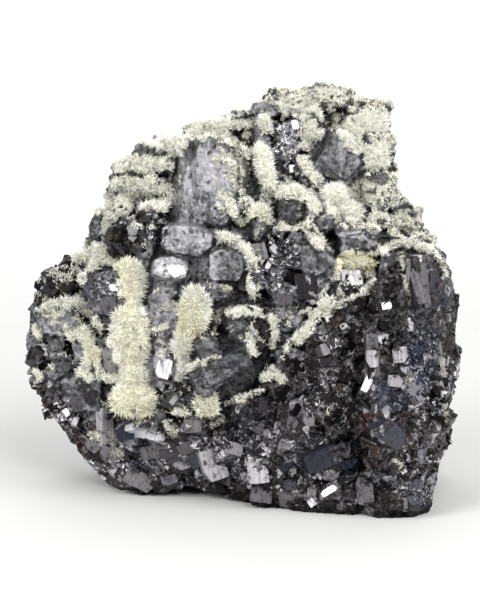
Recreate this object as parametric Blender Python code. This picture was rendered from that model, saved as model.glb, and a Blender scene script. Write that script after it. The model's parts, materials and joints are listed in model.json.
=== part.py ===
"""A hand-sized galena specimen: a broken lump of ore with blocky galena crystals on its upper
face, black sphalerite between them, and crusts of cream druse on top.

Run it with: blender --background --python part.py
"""

import math
import random
from typing import NamedTuple

import bmesh
import bpy
from mathutils import Euler, Matrix, Vector
from mathutils.bvhtree import BVHTree

# Driving dimensions, in millimetres and degrees unless a comment says otherwise.
MM = 0.001  # in metres
GAP = 0.3  # kept between pieces that touch

# The front view: it looks along +y and down by LOOK_DOWN, and its foot is the line y = FRONT, z = 0.
LOOK_DOWN = math.radians(12.0)
SIGHT = Vector((0.0, math.cos(LOOK_DOWN), -math.sin(LOOK_DOWN)))
FRONT = -35.0
REACH = 150.0  # how far in front of the middle a line of sight starts

# How deep crystals, cleavage steps and crust pads reach into the ore.
ROOT = 2.5
STEP_ROOT = 3.4
PAD_ROOT = 1.0

# A galena cube has its points cut off by this share of its least side, if that side is long enough.
CUT = 0.17
LEAST_CUT = 7.9

# Scattered cleavage steps. Those on the sides and the back are larger, by the factor BACK_SIZE.
CLEAVAGE_COUNT = 118
CLEAVAGE_SIZE = (4.5, 9.5)
CLEAVAGE_PROUD = (0.4, 1.5)
CLEAVAGE_TILT = 24.0
BACK_SIZE = 1.45
GRAIN_SPACING = 12.0
ORE_MIDDLE = Vector((0, 3, 42))
ORE_RADIUS = 46.0
SEED = 11

# Meshes drop edges shorter than SHORTEST, edges between faces flatter than FLAT, and then the
# least edges until this share of the triangles is left.
SHORTEST = 0.02
FLAT = 1.0
DRUSE_FLAT = 7.0
MASS_KEPT = 0.85
DRUSE_KEPT = 0.92

# The lump of ore is a pile of chunks with flat breaks. Corners are x, y, z; the front is -y.
CHUNKS = {
    "right column": (
        (30, -29, 0), (34, -33, 0), (43, -32, 0), (47, -27, 0), (48, 12, 0), (28, 16, 0),
        (29, -29, 26), (34, -35, 26), (50, -27, 20), (53, -14, 28), (53.5, -8, 42), (54, 14, 36),
        (30, -26, 46), (34, -27, 50), (35, -21, 60), (47, -16, 56), (53.5, -4, 52),
        (43, -8, 67), (49, 0, 63), (48, 18, 58), (30, 22, 50), (38, 20, 20), (50, 20, 24),
    ),
    "middle slab": (
        (-5, -14, 1), (6, -19, 0), (16, -27, 0), (28, -30, 0), (33, -26, 0), (30, 14, 0), (12, 20, 0),
        (-8, -20, 17), (2, -25, 27), (29, -31, 25), (34, -26, 27),
        (11, -25, 39), (15, -24, 46), (22, -23, 53), (31, -22, 54), (35, -14, 50),
        (8, 28, 50), (0, 28, 16), (34, 20, 50),
    ),
    "left foot": (
        (-31, -4, 0), (-19, -6, 0), (-14, 14, 0), (-30, 12, 0),
        (-36, 2, 3), (-46, 3, 15), (-52, 4, 26), (-54.5, 4, 36), (-53, 6, 45), (-46, 8, 53),
        (-22, -13, 7), (-10, -18, 12), (-41, -9, 27), (-27, -16, 26), (-8, -21, 22),
        (-34, -7, 48), (-10, -15, 50), (0, -19, 35),
        (-47, 18, 24), (-42, 22, 48), (-16, 25, 12), (-34, 18, 6), (0, 28, 48),
    ),
    "belly": (
        (-18, -8, 3), (-8, -15, 3), (4, -19, 1), (10, -12, 1), (-16, 10, 4), (6, 20, 3),
        (-12, -19, 40), (12, -22, 44), (-14, 24, 44), (14, 26, 44),
    ),
    "heart": (
        (-14, -17, 40), (13, -21, 42), (-10, -13, 62), (20, -15, 58), (32, -13, 58), (34, -9, 70),
        (2, -7, 73), (24, -7, 72), (-22, 20, 44), (24, 26, 44), (-16, 22, 70), (30, 20, 72),
    ),
    "shoulder": (
        (-36, -7, 50), (-12, -14, 52), (-9, -12, 64), (-32, -3, 62), (-26, 3, 74), (-14, -5, 76),
        (-44, 9, 53), (-41, 20, 50), (-31, 20, 64), (-23, 20, 74), (0, 26, 56), (0, 20, 76),
    ),
    "left steps": (
        (-21, 5, 85), (-27, 5, 79), (-32, 5, 71), (-34, 7, 62), (-12, 2, 87), (-12, -4, 70), (-28, 0, 62),
        (-20, 19, 84), (-30, 19, 70), (-32, 19, 60), (-8, 19, 84), (-8, 19, 60),
    ),
    "crest": (
        (-12, 8, 88), (-4, 8, 92), (4, 7, 96), (14, 9, 100), (25, 9, 100), (33, 7, 96),
        (34, 5, 84), (36, 1, 76), (42, -2, 66), (15, 1, 90), (-18, 9, 82), (-25, 6, 72),
        (2, -6, 74), (24, -7, 72), (-10, -12, 62), (20, -16, 58), (38, -11, 64),
        (10, 20, 95), (28, 19, 92), (35, 20, 76), (-10, 20, 86), (-22, 20, 70),
        (44, 18, 60), (0, 28, 60), (-28, 18, 58),
    ),
    "back ledge": (
        (-28, 18, 14), (24, 20, 10), (36, 20, 30), (-36, 18, 36),
        (-20, 31, 22), (16, 33, 18), (24, 32, 34), (-26, 30, 38), (-16, 24, 56), (18, 26, 52),
    ),
    "back shoulder": (
        (2, 20, 50), (36, 18, 44), (40, 18, 64), (6, 20, 76),
        (10, 31, 54), (32, 29, 50), (33, 28, 62), (12, 29, 68),
    ),
}


class Block(NamedTuple):
    """A crystal or a crust pad, placed where a line of sight from the front meets the ore.

    across and up are measured on the front view, from the middle of the foot of the specimen.
    turn swings the front face to the right, tilt leans it down, and lean rolls it clockwise, in
    degrees. proud is how far the front face stands off the ore.
    """

    across: float
    up: float
    width: float
    height: float
    turn: float
    tilt: float
    lean: float
    proud: float


# Galena crystals that stand in the open, from the top of the specimen down.
CRYSTALS = (
    Block(7.6, 101.8, 8, 5, -14, -25, -24, 2.6),
    Block(14.5, 104.6, 11, 5, 0, -25, -8, 3.0),
    Block(23.0, 105.2, 10, 5.5, 10, -20, 14, 3.0),
    Block(32.4, 100.4, 9.5, 8.5, 10, -12, 4, 3.5),
    Block(-1.5, 99.0, 5, 4, 10, -12, -10, 2.5),
    Block(-7.0, 99.3, 7, 4.5, -10, -20, -12, 2.5),
    Block(-14.0, 96.4, 7, 4.5, -10, -15, -20, 2.5),
    Block(6.5, 96.0, 6, 7, 10, -16, 12, 2.5),
    Block(-22.0, 91.4, 9.5, 4.2, -18, -8, 20, 7.0),
    Block(-25.4, 85.6, 10.4, 4.2, -16, -6, 2, 7.5),
    Block(-21.5, 75.4, 6.5, 4.2, -12, -6, -8, 5.5),
    Block(-35.4, 73.8, 5.2, 7, -20, 0, -18, 4.5),
    Block(-30.5, 81.0, 5, 6, -20, -10, 0, 3.5),
    Block(-9.8, 83.8, 9.4, 20.5, 36, -4, 10, 8.5),
    Block(-4.6, 81.5, 6, 15, 30, -4, 12, 5.5),
    Block(3.4, 83.6, 4.6, 7.5, 20, -10, 0, 1.2),
    Block(13.0, 96.0, 7.5, 7, 15, -12, -25, 2.0),
    Block(24.8, 89.6, 10.8, 10.6, 12, -8, 30, 3.8),
    Block(11.4, 91.0, 6, 8, -15, -10, 35, 1.6),
    Block(17.0, 85.5, 6, 8, 10, -16, -30, 2.0),
    Block(34.2, 91.0, 7.5, 9.5, 22, -8, 4, 3.0),
    Block(34.8, 81.5, 7, 9, 24, -12, 10, 3.0),
    Block(40.5, 74.0, 8, 9, 26, -12, 20, 3.0),
    Block(12.6, 76.2, 5.6, 6.8, 14, 0, 8, 5.0),
    Block(21.0, 73.6, 4, 5, 10, 0, -28, 4.0),
    Block(29.6, 69.6, 10, 6.0, 8, 6, 6, 4.5),
    Block(36.4, 68.4, 6, 5.5, 20, 0, 10, 3.0),
    Block(4.8, 71.8, 5, 5.2, 20, 0, 12, 3.2),
    Block(9.6, 70.4, 4.4, 4.2, 10, -10, 12, 3.0),
    Block(14.2, 68.4, 6.2, 5.0, 10, -8, 36, 3.5),
    Block(5.5, 60.2, 4.8, 5.6, 10, 0, 14, 3.6),
    Block(10.4, 63.6, 5, 10.5, -14, -6, 24, 4.6),
    Block(17.6, 64.6, 10, 6, -4, -6, 16, 5.6),
    Block(20.0, 59.0, 8, 12, 12, 4, -8, 4.6),
    Block(12.6, 55.4, 9.5, 7, 10, -4, 10, 3.4),
    Block(27.6, 59.4, 7, 6.5, -6, -26, 26, 1.8),
    Block(38.0, 59.6, 6.6, 12.5, -14, -4, 3, 2.5),
    Block(44.0, 59.6, 8, 12.5, 24, -4, -6, 2.6),
    Block(49.4, 56.0, 4.5, 9, 40, -4, -10, 1.2),
    Block(-23.2, 67.8, 5.6, 9, -24, -2, 8, 5.5),
    Block(-33.4, 57.4, 9.4, 8.4, -18, -8, -14, 5.0),
    Block(-31.8, 51.8, 6, 7.5, -24, 0, -18, 4.2),
    Block(-44.8, 48.6, 11.5, 5.8, -20, -6, 0, 3.8),
    Block(-45.2, 42.8, 4.5, 7, -26, 0, 6, 2.8),
    Block(-39.0, 42.0, 5, 9, -12, -6, -10, 1.8),
    Block(-47.0, 35.8, 11.5, 4.2, -24, -4, -36, 3.2),
    Block(-44.6, 30.0, 9.6, 10.8, -22, 4, 6, 2.4),
    Block(-36.5, 31.0, 5, 8, -20, 0, 2, 2.2),
    Block(-31.8, 40.4, 6, 9.4, -30, -2, 10, 3.0),
    Block(-35.0, 24.6, 5, 8.4, -26, 0, 16, 2.2),
    Block(-18.2, 50.0, 7, 8.5, -6, -12, -34, 3.6),
    Block(-19.0, 43.6, 5, 5, 6, -12, -10, 2.6),
    Block(-8.2, 42.6, 5.8, 5.6, 8, -8, -18, 4.4),
    Block(-4.6, 37.8, 15, 5.6, 6, 6, -34, 6.4),
    Block(-9.0, 36.0, 6.5, 5.5, -6, 0, -24, 4.4),
    Block(-0.2, 48.0, 6.4, 5.6, 6, -4, -4, 4.4),
    Block(1.8, 43.0, 5, 6, -10, -4, -20, 2.4),
    Block(11.2, 49.0, 7.6, 8.8, -6, 0, 24, 3.0),
    Block(-14.6, 29.8, 6.4, 5.6, 6, -4, -40, 4.2),
    Block(-11.0, 24.2, 4.8, 4.0, 4, -6, 10, 2.6),
    Block(-22.6, 23.4, 9, 7.2, -10, -6, 12, 2.6),
)

# Galena crystals with etched, rounded outlines.
ROUNDED = (
    Block(-5.8, 76.8, 7.2, 8.5, 16, -6, 8, 8.6),
    Block(-12.2, 69.6, 12, 8.4, 6, -10, 12, 7.4),
    Block(-3.4, 63.2, 9, 8.6, 14, -8, 14, 6.6),
    Block(-17.2, 62.2, 9.6, 6.8, -6, -16, 14, 7.8),
    Block(-5.8, 57.2, 6.6, 4, 8, -10, 22, 5.0),
    Block(-19.2, 55.4, 9.4, 5.2, -12, -14, -36, 4.4),
    Block(-18.8, 38.2, 6.2, 8, -8, -10, -20, 4.8),
)

# Bright cleavage steps of the broken front.
STEPS = (
    Block(22.0, 15.2, 13.5, 6.6, -10, 10, -22, 1.9),
    Block(4.5, 12.4, 5.8, 7, -8, 4, 6, 1.9),
    Block(5.6, 5.8, 5.4, 4.6, 6, 8, 12, 1.6),
    Block(33.6, 44.4, 5.8, 5, 4, 0, 2, 1.5),
    Block(32.4, 39.2, 3.2, 5.2, 8, 4, 4, 2.1),
    Block(39.2, 41.0, 4.6, 4.8, 12, 2, 6, 1.7),
    Block(38.4, 34.4, 4, 3.4, 8, -6, 2, 1.5),
    Block(31.4, 33.8, 3.4, 7.0, -6, -8, -10, 1.9),
    Block(35.8, 52.8, 3.6, 3.6, 0, -8, 40, 1.5),
    Block(44.4, 39.4, 5, 6.2, 22, 2, -6, 1.3),
    Block(36.8, 21.2, 5, 8.6, 10, 6, -38, 1.9),
    Block(31.6, 8.8, 4.4, 7.8, 4, 2, 3, 1.9),
    Block(41.0, 5.6, 9, 5.4, 14, 10, 4, 1.4),
    Block(22.6, 7.6, 5.2, 3.6, -6, -8, -26, 1.9),
    Block(-8.0, 15.0, 5.2, 8.4, -8, 6, -26, 1.9),
    Block(-12.4, 12.0, 3.8, 3.4, 6, 6, -20, 1.5),
    Block(-26.4, 10.2, 7.4, 7.2, -14, 10, 22, 1.6),
    Block(-18.8, 9.8, 7.4, 5.6, 8, 10, -12, 1.6),
    Block(22.5, 42.5, 5.4, 7, -10, 4, 20, 1.6),
    Block(13.5, 33.5, 12, 4.5, -14, 8, -38, 1.6),
    Block(4.0, 26.0, 9, 4.6, -10, 6, -36, 1.6),
    Block(20.5, 27.0, 6, 7, -6, 2, 10, 1.4),
    Block(48.5, 27.0, 5, 8, 38, 4, -6, 1.1),
    Block(44.6, 15.0, 7.4, 6, 28, 6, 8, 1.3),
)

# Black sphalerite clusters: the block that each fills, and how many crystals it shows.
SPHALERITE = {
    "sphalerite_shoulder": (Block(-28.2, 70.2, 11, 11.4, -12, 0, -10, 6.4), 7),
    "sphalerite_left": (Block(-45.6, 58.0, 15.5, 10.5, -22, 0, -40, 5.4), 8),
    "sphalerite_left_upper": (Block(-43.4, 63.6, 9.4, 5.0, -20, 0, -20, 5.2), 4),
    "sphalerite_edge": (Block(-50.0, 40.0, 7.2, 7.2, -30, 0, 0, 3.8), 5),
    "sphalerite_centre": (Block(5.4, 46.8, 4.4, 8.8, 0, 0, 16, 4.8), 3),
}

# Cream druse crusts. Each is a chain of pads that overlap.
DRUSE = {
    "druse_column": (
        Block(-27.2, 59.4, 9.0, 13, -6, -4, 2, 7.2),
        Block(-27.2, 45.5, 12.8, 18, -4, 0, 3, 7.0),
        Block(-26.6, 35.0, 8.4, 8, 0, 4, 0, 5.4),
        Block(-26.6, 29.2, 14.0, 9.8, 0, 4, 4, 5.8),
    ),
    "druse_centre": (
        Block(-11.2, 52.0, 9.6, 14, 4, -4, 10, 6.8),
        Block(-14.0, 44.0, 7.2, 10, 0, 0, 14, 6.2),
        Block(-14.4, 36.8, 5, 7, 0, 0, 14, 5.0),
    ),
    "druse_lower_tuft": (
        Block(-8.4, 28.8, 8, 8.4, 6, 0, -10, 5.8),
        Block(-14.2, 24.8, 7, 3.6, 0, 0, -24, 4.2),
    ),
    "druse_ledge_upper": (Block(-18.0, 93.6, 9.6, 5.2, -18, -30, 22, 8.4),),
    "druse_ledge_middle": (Block(-24.0, 88.4, 13.4, 3.8, -16, -30, 2, 9.0),),
    "druse_ledge_lower": (
        Block(-23.0, 82.2, 14.6, 4.4, -12, -26, 0, 7.8),
        Block(-28.8, 78.6, 6, 7.5, -16, -10, 10, 6.2),
    ),
    "druse_outer_ledge": (
        Block(-34.6, 78.0, 6.2, 4.4, -20, -30, -6, 6.8),
        Block(-31.8, 73.0, 5, 10, -18, -10, 34, 4.8),
    ),
    "druse_left_shoulder": (
        Block(-40.5, 67.0, 11, 4.2, -10, -20, -14, 5.2),
        Block(-34.4, 66.4, 6, 6, -10, -16, -10, 5.0),
        Block(-37.4, 60.6, 5, 8, -12, -6, 30, 4.0),
    ),
    "druse_left_shelf": (
        Block(-43.2, 53.6, 12.6, 3.8, -20, -20, -2, 5.8),
        Block(-36.6, 50.0, 5, 9, -14, -6, -20, 4.8),
    ),
    "druse_left_hook": (
        Block(-38.0, 45.2, 5.2, 8, -14, -6, -16, 5.0),
        Block(-37.8, 38.4, 4.8, 8, -14, -2, 14, 4.6),
    ),
    "druse_blade_side": (
        Block(0.2, 86.0, 5.6, 16, 24, -6, 6, 6.2),
        Block(1.6, 77.0, 5, 8, 20, -6, -14, 5.2),
        Block(-3.0, 95.4, 13, 5.6, 0, -26, 8, 5.4),
        Block(-11.0, 95.8, 8, 5, -8, -26, -6, 5.4),
    ),
    "druse_lozenge": (Block(6.2, 87.4, 6, 14.4, 8, -6, -16, 6.8),),
    "druse_pocket": (Block(4.6, 76.0, 8, 5.4, 6, -14, 14, 6.0),),
    "druse_arch": (
        Block(12.6, 81.0, 9, 4.4, 6, -24, -4, 7.0),
        Block(17.8, 77.4, 5.6, 7.5, 6, -16, -34, 5.8),
    ),
    "druse_slope": (Block(18.8, 69.8, 5.2, 12, 8, -6, -32, 5.6),),
    "druse_middle": (
        Block(23.6, 79.6, 8, 9, 8, -6, -12, 5.6),
        Block(27.6, 76.4, 9, 6.4, 8, -10, 20, 5.0),
        Block(18.6, 87.0, 5, 9, 6, -10, -24, 5.0),
    ),
    "druse_plate_rim": (
        Block(1.8, 64.4, 4.6, 10, 14, -8, -24, 5.4),
        Block(-3.4, 69.6, 8.4, 3.8, 8, -20, 16, 5.4),
        Block(3.4, 58.0, 4.2, 8, 10, -8, -4, 4.2),
    ),
    "druse_hollow": (
        Block(29.0, 63.8, 11.6, 4.6, 4, -22, 4, 5.2),
        Block(33.4, 57.4, 4, 8, 0, -10, 8, 3.8),
    ),
    "druse_rim": (
        Block(24.2, 58.6, 3.4, 8, -10, -6, 14, 4.0),
        Block(20.6, 52.6, 4.4, 9, -10, -6, 36, 4.2),
        Block(15.6, 46.0, 3.6, 9, -10, -6, 42, 3.4),
    ),
    "druse_crest": (
        Block(33.0, 99.0, 10.6, 9, 14, -20, 4, 6.6),
        Block(29.4, 97.6, 8, 8, 8, -20, 4, 6.0),
        Block(34.0, 90.4, 9, 9, 20, -16, 4, 6.2),
        Block(29.4, 93.0, 7, 5, 8, -16, 10, 5.6),
    ),
    "druse_flank": (
        Block(34.4, 81.6, 8.6, 11, 22, -16, 12, 6.4),
        Block(39.8, 75.4, 8, 10.5, 26, -14, 20, 6.4),
        Block(34.0, 74.4, 8, 6.5, 14, -14, 20, 5.2),
        Block(42.6, 69.2, 6, 5, 24, -16, 10, 5.4),
    ),
    "druse_summit": (
        Block(21.4, 105.0, 12, 5.6, 4, -34, 4, 6.4),
        Block(13.0, 103.2, 10, 5, 0, -34, -16, 6.2),
        Block(18.4, 98.6, 7, 10, 6, -20, -6, 5.4),
    ),
    "druse_tuft": (Block(6.4, 97.4, 4.6, 5, 0, -20, 0, 5.2),),
    "druse_ledge_centre": (Block(0.2, 51.4, 7.6, 3.0, 6, -24, -4, 6.0),),
}


def new_object(name, bm, material=None):
    """Turns a bmesh into an object of the scene, closed and facing out."""
    bmesh.ops.recalc_face_normals(bm, faces=bm.faces)
    mesh = bpy.data.meshes.new(name)
    bm.to_mesh(mesh)
    bm.free()
    obj = bpy.data.objects.new(name, mesh)
    bpy.context.scene.collection.objects.link(obj)
    if material:
        mesh.materials.append(material)
    return obj


def add_hull(bm, points):
    """Adds the convex solid round these points."""
    verts = [bm.verts.new(p) for p in points]
    made = bmesh.ops.convex_hull(bm, input=verts)
    unused = {v for v in made["geom_interior"] + made["geom_unused"] if isinstance(v, bmesh.types.BMVert)}
    bmesh.ops.delete(bm, geom=list(unused), context="VERTS")


def grown(points, by):
    """A larger copy of a convex shape, with each face at least this much further out."""
    middle = sum((Vector(p) for p in points), Vector()) / len(points)
    out = []
    for p in points:
        ray = Vector(p) - middle
        out.append(middle + ray * (1 + 2.0 * by / max(ray.length, 4.0)))
    return out


def box_corners(width, depth, height):
    """The corners of a block that broke along galena's three square cleavages."""
    return [
        (sx * width / 2, sy * depth / 2, sz * height / 2)
        for sx in (-1, 1) for sy in (-1, 1) for sz in (-1, 1)
    ]


def cube_corners(width, depth, height):
    """The corners of a galena crystal: a cube, with its points cut off if it is a large one."""
    least = min(width, depth, height)
    if least < LEAST_CUT:
        return box_corners(width, depth, height)
    cut = CUT * least
    corners = []
    for sx in (-1, 1):
        for sy in (-1, 1):
            for sz in (-1, 1):
                x, y, z = sx * width / 2, sy * depth / 2, sz * height / 2
                corners.append((x - sx * cut, y, z))
                corners.append((x, y - sy * cut, z))
                corners.append((x, y, z - sz * cut))
    return corners


def rounded_corners(width, depth, height):
    """The corners of a crystal with an etched, rounded outline."""
    return cushion_corners(width, depth, height, sides=8)


def cushion_corners(width, depth, height, rings=4, sides=6):
    """Points of a plump pad, flatter than an ellipsoid."""
    power = 0.72
    corners = [(0, 0, -height / 2), (0, 0, height / 2)]
    for i in range(1, rings):
        v = math.pi * i / rings - math.pi / 2
        for k in range(sides):
            u = math.tau * (k + 0.5 * (i % 2)) / sides
            x, y, z = math.cos(v) * math.cos(u), math.cos(v) * math.sin(u), math.sin(v)
            x, y, z = (math.copysign(abs(c) ** power, c) for c in (x, y, z))
            corners.append((x * width / 2, y * depth / 2, z * height / 2))
    return corners


def turned(block):
    """The rotation of a block."""
    turn, tilt, lean = (math.radians(a) for a in (block.turn, block.tilt, block.lean))
    return (
        Matrix.Rotation(turn, 3, "Z") @ Matrix.Rotation(tilt, 3, "X") @ Matrix.Rotation(lean, 3, "Y")
    )


def line_of_sight(across, up):
    """The start of the line that looks at this place of the front view."""
    y = -REACH
    z = (up + math.sin(LOOK_DOWN) * (FRONT - y)) / math.cos(LOOK_DOWN)
    return Vector((across, y, z))


class Ore:
    """The chunks of ore, with a way to find their surface."""

    def __init__(self):
        bm = bmesh.new()
        for corners in CHUNKS.values():
            add_hull(bm, corners)
        bmesh.ops.recalc_face_normals(bm, faces=bm.faces)
        self.tree = BVHTree.FromBMesh(bm)
        bm.free()

    def front(self, across, up):
        """Where the line of sight meets the ore, with the surface's normal."""
        for step in range(12):
            inward = 0.03 * step
            start = line_of_sight(across * (1 - inward), up + (45 - up) * inward)
            place, normal, _, _ = self.tree.ray_cast(start, SIGHT)
            if place:
                return place, normal
        raise ValueError(f"no ore in front of {across}, {up}")

    def outside(self, start, direction):
        """The last surface that a line from inside meets, with its normal."""
        found, place = None, start
        while True:
            place, normal, _, _ = self.tree.ray_cast(place + direction * 0.01, direction)
            if place is None:
                return found
            found = place, normal


def placed(block, ore, shape, root=ROOT):
    """The corners of a block that reaches this far into the ore, where a line of sight meets it."""
    depth = block.proud + root
    rotation = turned(block)
    place, _ = ore.front(block.across, block.up)
    middle = place + SIGHT * (root - block.proud) / 2
    return [rotation @ Vector(p) + middle for p in shape(block.width, depth, block.height)]


def directions(count):
    """Evenly spread directions, on a spiral round a ball."""
    golden = math.pi * (3 - math.sqrt(5))
    for i in range(count):
        z = 1 - 2 * (i + 0.5) / count
        r = math.sqrt(1 - z * z)
        yield Vector((r * math.cos(i * golden), r * math.sin(i * golden), z))


def is_crystal_face(place, normal):
    """True on the upper front, where the crystals of the tables and the druse are."""
    rim = 46 + 0.45 * place.x if place.x > 8 else 24 + 0.15 * place.x
    return normal.y < 0.1 and place.y < 12 and place.z > rim


def cleavage_blocks(ore):
    """Small cleavage steps of the broken faces. Those of one grain are parallel."""
    rng = random.Random(SEED)
    grains = []
    for d in directions(int(4 * math.pi * ORE_RADIUS**2 / GRAIN_SPACING**2)):
        spin = Matrix.Rotation(rng.uniform(0, math.tau), 3, "Z")
        lean = Euler([math.radians(rng.uniform(-CLEAVAGE_TILT, CLEAVAGE_TILT)) for _ in range(3)])
        outward = d.to_track_quat("Z", "Y").to_matrix()
        grains.append((ORE_MIDDLE + d * ORE_RADIUS, outward @ lean.to_matrix() @ spin))
    for d in directions(CLEAVAGE_COUNT):
        found = ore.outside(ORE_MIDDLE, d)
        if not found or found[0].z < 2.0 or is_crystal_face(*found):
            continue
        place, normal = found
        _, rotation = min(grains, key=lambda grain: (grain[0] - place).length)
        scale = BACK_SIZE if normal.y > -0.2 else 1.0
        sides = [rng.uniform(*CLEAVAGE_SIZE) * scale for _ in range(3)]
        reach = sum(abs(normal @ rotation.col[i]) * sides[i] / 2 for i in range(3))
        at = place + normal * (rng.uniform(*CLEAVAGE_PROUD) * scale - reach * 0.8)
        yield [rotation @ Vector(p) + at for p in box_corners(*sides)]


def material(name, colour, metallic, roughness):
    mat = bpy.data.materials.new(name)
    mat.use_nodes = True
    shader = mat.node_tree.nodes["Principled BSDF"]
    shader.inputs["Base Color"].default_value = (*colour, 1.0)
    shader.inputs["Metallic"].default_value = metallic
    shader.inputs["Roughness"].default_value = roughness
    mat.diffuse_color = (*colour, 1.0)
    return mat


def keep_result(obj):
    """Gives the object the mesh that its modifiers make, and drops the modifiers."""
    graph = bpy.context.evaluated_depsgraph_get()
    mesh = bpy.data.meshes.new_from_object(obj.evaluated_get(graph))
    obj.modifiers.clear()
    obj.data = mesh


def combine(obj, other, operation):
    """Joins obj with another solid, or takes it away, and keeps the result as its mesh.

    The manifold solver is used, because the exact one leaves nothing of a sphalerite cluster when
    the room round the galena is cut from it.
    """
    modifier = obj.modifiers.new(other.name, "BOOLEAN")
    modifier.operation = operation
    modifier.object = other
    modifier.solver = "MANIFOLD"
    keep_result(obj)


def hull(name, points, skin=None):
    """An object with the convex shape of these points."""
    bm = bmesh.new()
    add_hull(bm, points)
    return new_object(name, bm, skin)


def grown_together(name, solids, skin=None):
    """One closed solid made of convex ones that overlap."""
    obj = hull(name, solids[0], skin)
    for points in solids[1:]:
        other = hull("next", points)
        combine(obj, other, "UNION")
        bpy.data.objects.remove(other)
    return obj


def islands(bm):
    """The faces of each connected body."""
    left, found = set(bm.faces), []
    while left:
        island, front = [], [left.pop()]
        while front:
            face = front.pop()
            island.append(face)
            for edge in face.edges:
                for other in edge.link_faces:
                    if other in left:
                        left.remove(other)
                        front.append(other)
        found.append(island)
    return found


def volume(faces):
    total = 0.0
    for face in faces:
        a, *rest = (v.co for v in face.verts)
        for b, c in zip(rest, rest[1:]):
            total += a.dot(b.cross(c)) / 6
    return total


def tidy(obj, flat, kept):
    """Keeps the largest body of an object, without edges flatter than this, as triangles.

    kept is the share of the triangles that stays when the least edges are dropped.
    """
    bm = bmesh.new()
    bm.from_mesh(obj.data)
    bmesh.ops.dissolve_degenerate(bm, edges=bm.edges, dist=SHORTEST)
    bmesh.ops.dissolve_limit(bm, angle_limit=math.radians(flat), verts=bm.verts, edges=bm.edges)
    bmesh.ops.triangulate(bm, faces=bm.faces)
    parts = sorted(islands(bm), key=volume)
    for faces in parts[:-1]:
        bmesh.ops.delete(bm, geom=faces, context="FACES")
    bmesh.ops.recalc_face_normals(bm, faces=bm.faces)
    bm.to_mesh(obj.data)
    bm.free()
    modifier = obj.modifiers.new("drop the least edges", "DECIMATE")
    modifier.ratio = kept
    keep_result(obj)


def boxes_touch(one, other):
    """True where the bounding boxes of two objects meet."""
    for axis in range(3):
        here = [v.co[axis] for v in one.data.vertices]
        there = [v.co[axis] for v in other.data.vertices]
        if min(here) > max(there) or max(here) < min(there):
            return False
    return True


def mass_solids(ore):
    """The convex solids that have grown together in the galena mass."""
    chunks = [list(corners) for corners in CHUNKS.values()]
    crystals = [placed(block, ore, cube_corners) for block in CRYSTALS]
    rounded = [placed(block, ore, rounded_corners) for block in ROUNDED]
    steps = [placed(block, ore, box_corners, STEP_ROOT) for block in STEPS]
    return [*chunks, *crystals, *rounded, *steps, *cleavage_blocks(ore)]


def octahedron_corners(size, rng):
    """The corners of a sphalerite crystal with eight faces, turned at random."""
    a = size * 0.6
    corners = [(a, 0, 0), (-a, 0, 0), (0, a, 0), (0, -a, 0), (0, 0, a), (0, 0, -a)]
    rotation = Euler([rng.uniform(0, math.tau) for _ in range(3)]).to_matrix()
    return [rotation @ Vector(p) for p in corners]


def cluster_solids(block, count, ore, rng):
    """A core on the ore with small sharp crystals over its outside."""
    core = block._replace(width=block.width * 0.8, height=block.height * 0.8, proud=block.proud - 0.8)
    solids = [placed(core, ore, cushion_corners)]
    middle = sum(solids[0], Vector()) / len(solids[0])
    rotation = turned(block)
    size = 0.45 * min(block.width, block.height) + 1.5
    golden = math.pi * (3 - math.sqrt(5))
    for i in range(count):
        r = math.sqrt((i + 0.5) / count)
        x = r * math.cos(i * golden) * (block.width - size) / 2
        z = r * math.sin(i * golden) * (block.height - size) / 2
        y = -math.sqrt(max(0.0, 1 - r * r)) * (block.proud + ROOT) * 0.28
        at = rotation @ Vector((x, y, z)) + middle
        solids.append([at + p for p in octahedron_corners(size * rng.uniform(0.8, 1.15), rng)])
    return solids


def place_origin(objects):
    """Puts the middle of the base at the origin and turns millimetres to metres."""
    points = [v.co for obj in objects for v in obj.data.vertices]
    low = Vector([min(p[i] for p in points) for i in range(3)])
    high = Vector([max(p[i] for p in points) for i in range(3)])
    shift = Vector(((low.x + high.x) / 2, (low.y + high.y) / 2, low.z))
    for obj in objects:
        obj.data.transform(Matrix.Scale(MM, 4) @ Matrix.Translation(-shift))


def main():
    for obj in list(bpy.data.objects):
        bpy.data.objects.remove(obj)
    galena = material("galena", (0.16, 0.16, 0.175), 0.85, 0.38)
    sphalerite = material("sphalerite", (0.028, 0.022, 0.016), 0.0, 0.2)
    crust = material("druse", (0.72, 0.70, 0.52), 0.0, 0.75)
    ore = Ore()
    solids = mass_solids(ore)
    mass = grown_together("galena_mass", solids, galena)
    below = hull("below the base", [Vector(p) - Vector((0, 0, 30)) for p in box_corners(160, 160, 60)])
    combine(mass, below, "DIFFERENCE")
    tidy(mass, FLAT, MASS_KEPT)
    made = [mass]

    # Each later piece leaves room for those before it.
    rooms = [grown_together("room round the galena", [grown(points, GAP) for points in solids])]
    rng = random.Random(SEED)
    pieces = []
    for name, (block, count) in SPHALERITE.items():
        pieces.append((name, cluster_solids(block, count, ore, rng), sphalerite, FLAT, 1.0))
    for name, pads in DRUSE.items():
        shapes = [placed(pad, ore, cushion_corners, PAD_ROOT) for pad in pads]
        pieces.append((name, shapes, crust, DRUSE_FLAT, DRUSE_KEPT))
    for name, shapes, skin, flat, kept in pieces:
        obj = grown_together(name, shapes, skin)
        for room in rooms:
            if boxes_touch(obj, room):
                combine(obj, room, "DIFFERENCE")
        tidy(obj, flat, kept)
        made.append(obj)
        rooms.append(grown_together(f"room round {name}", [grown(points, GAP) for points in shapes]))

    for cutter in (below, *rooms):
        bpy.data.objects.remove(cutter)
    place_origin(made)


main()
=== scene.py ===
"""The looks of a galena specimen: broken ore, galena crystals, sphalerite and cream druse.

Run it as a script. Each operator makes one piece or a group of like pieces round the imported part,
and the last one makes the floor, the lights and the camera.
"""

import itertools
import json
import math

import bpy
import numpy as np
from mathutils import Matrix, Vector
from mathutils.bvhtree import BVHTree

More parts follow.
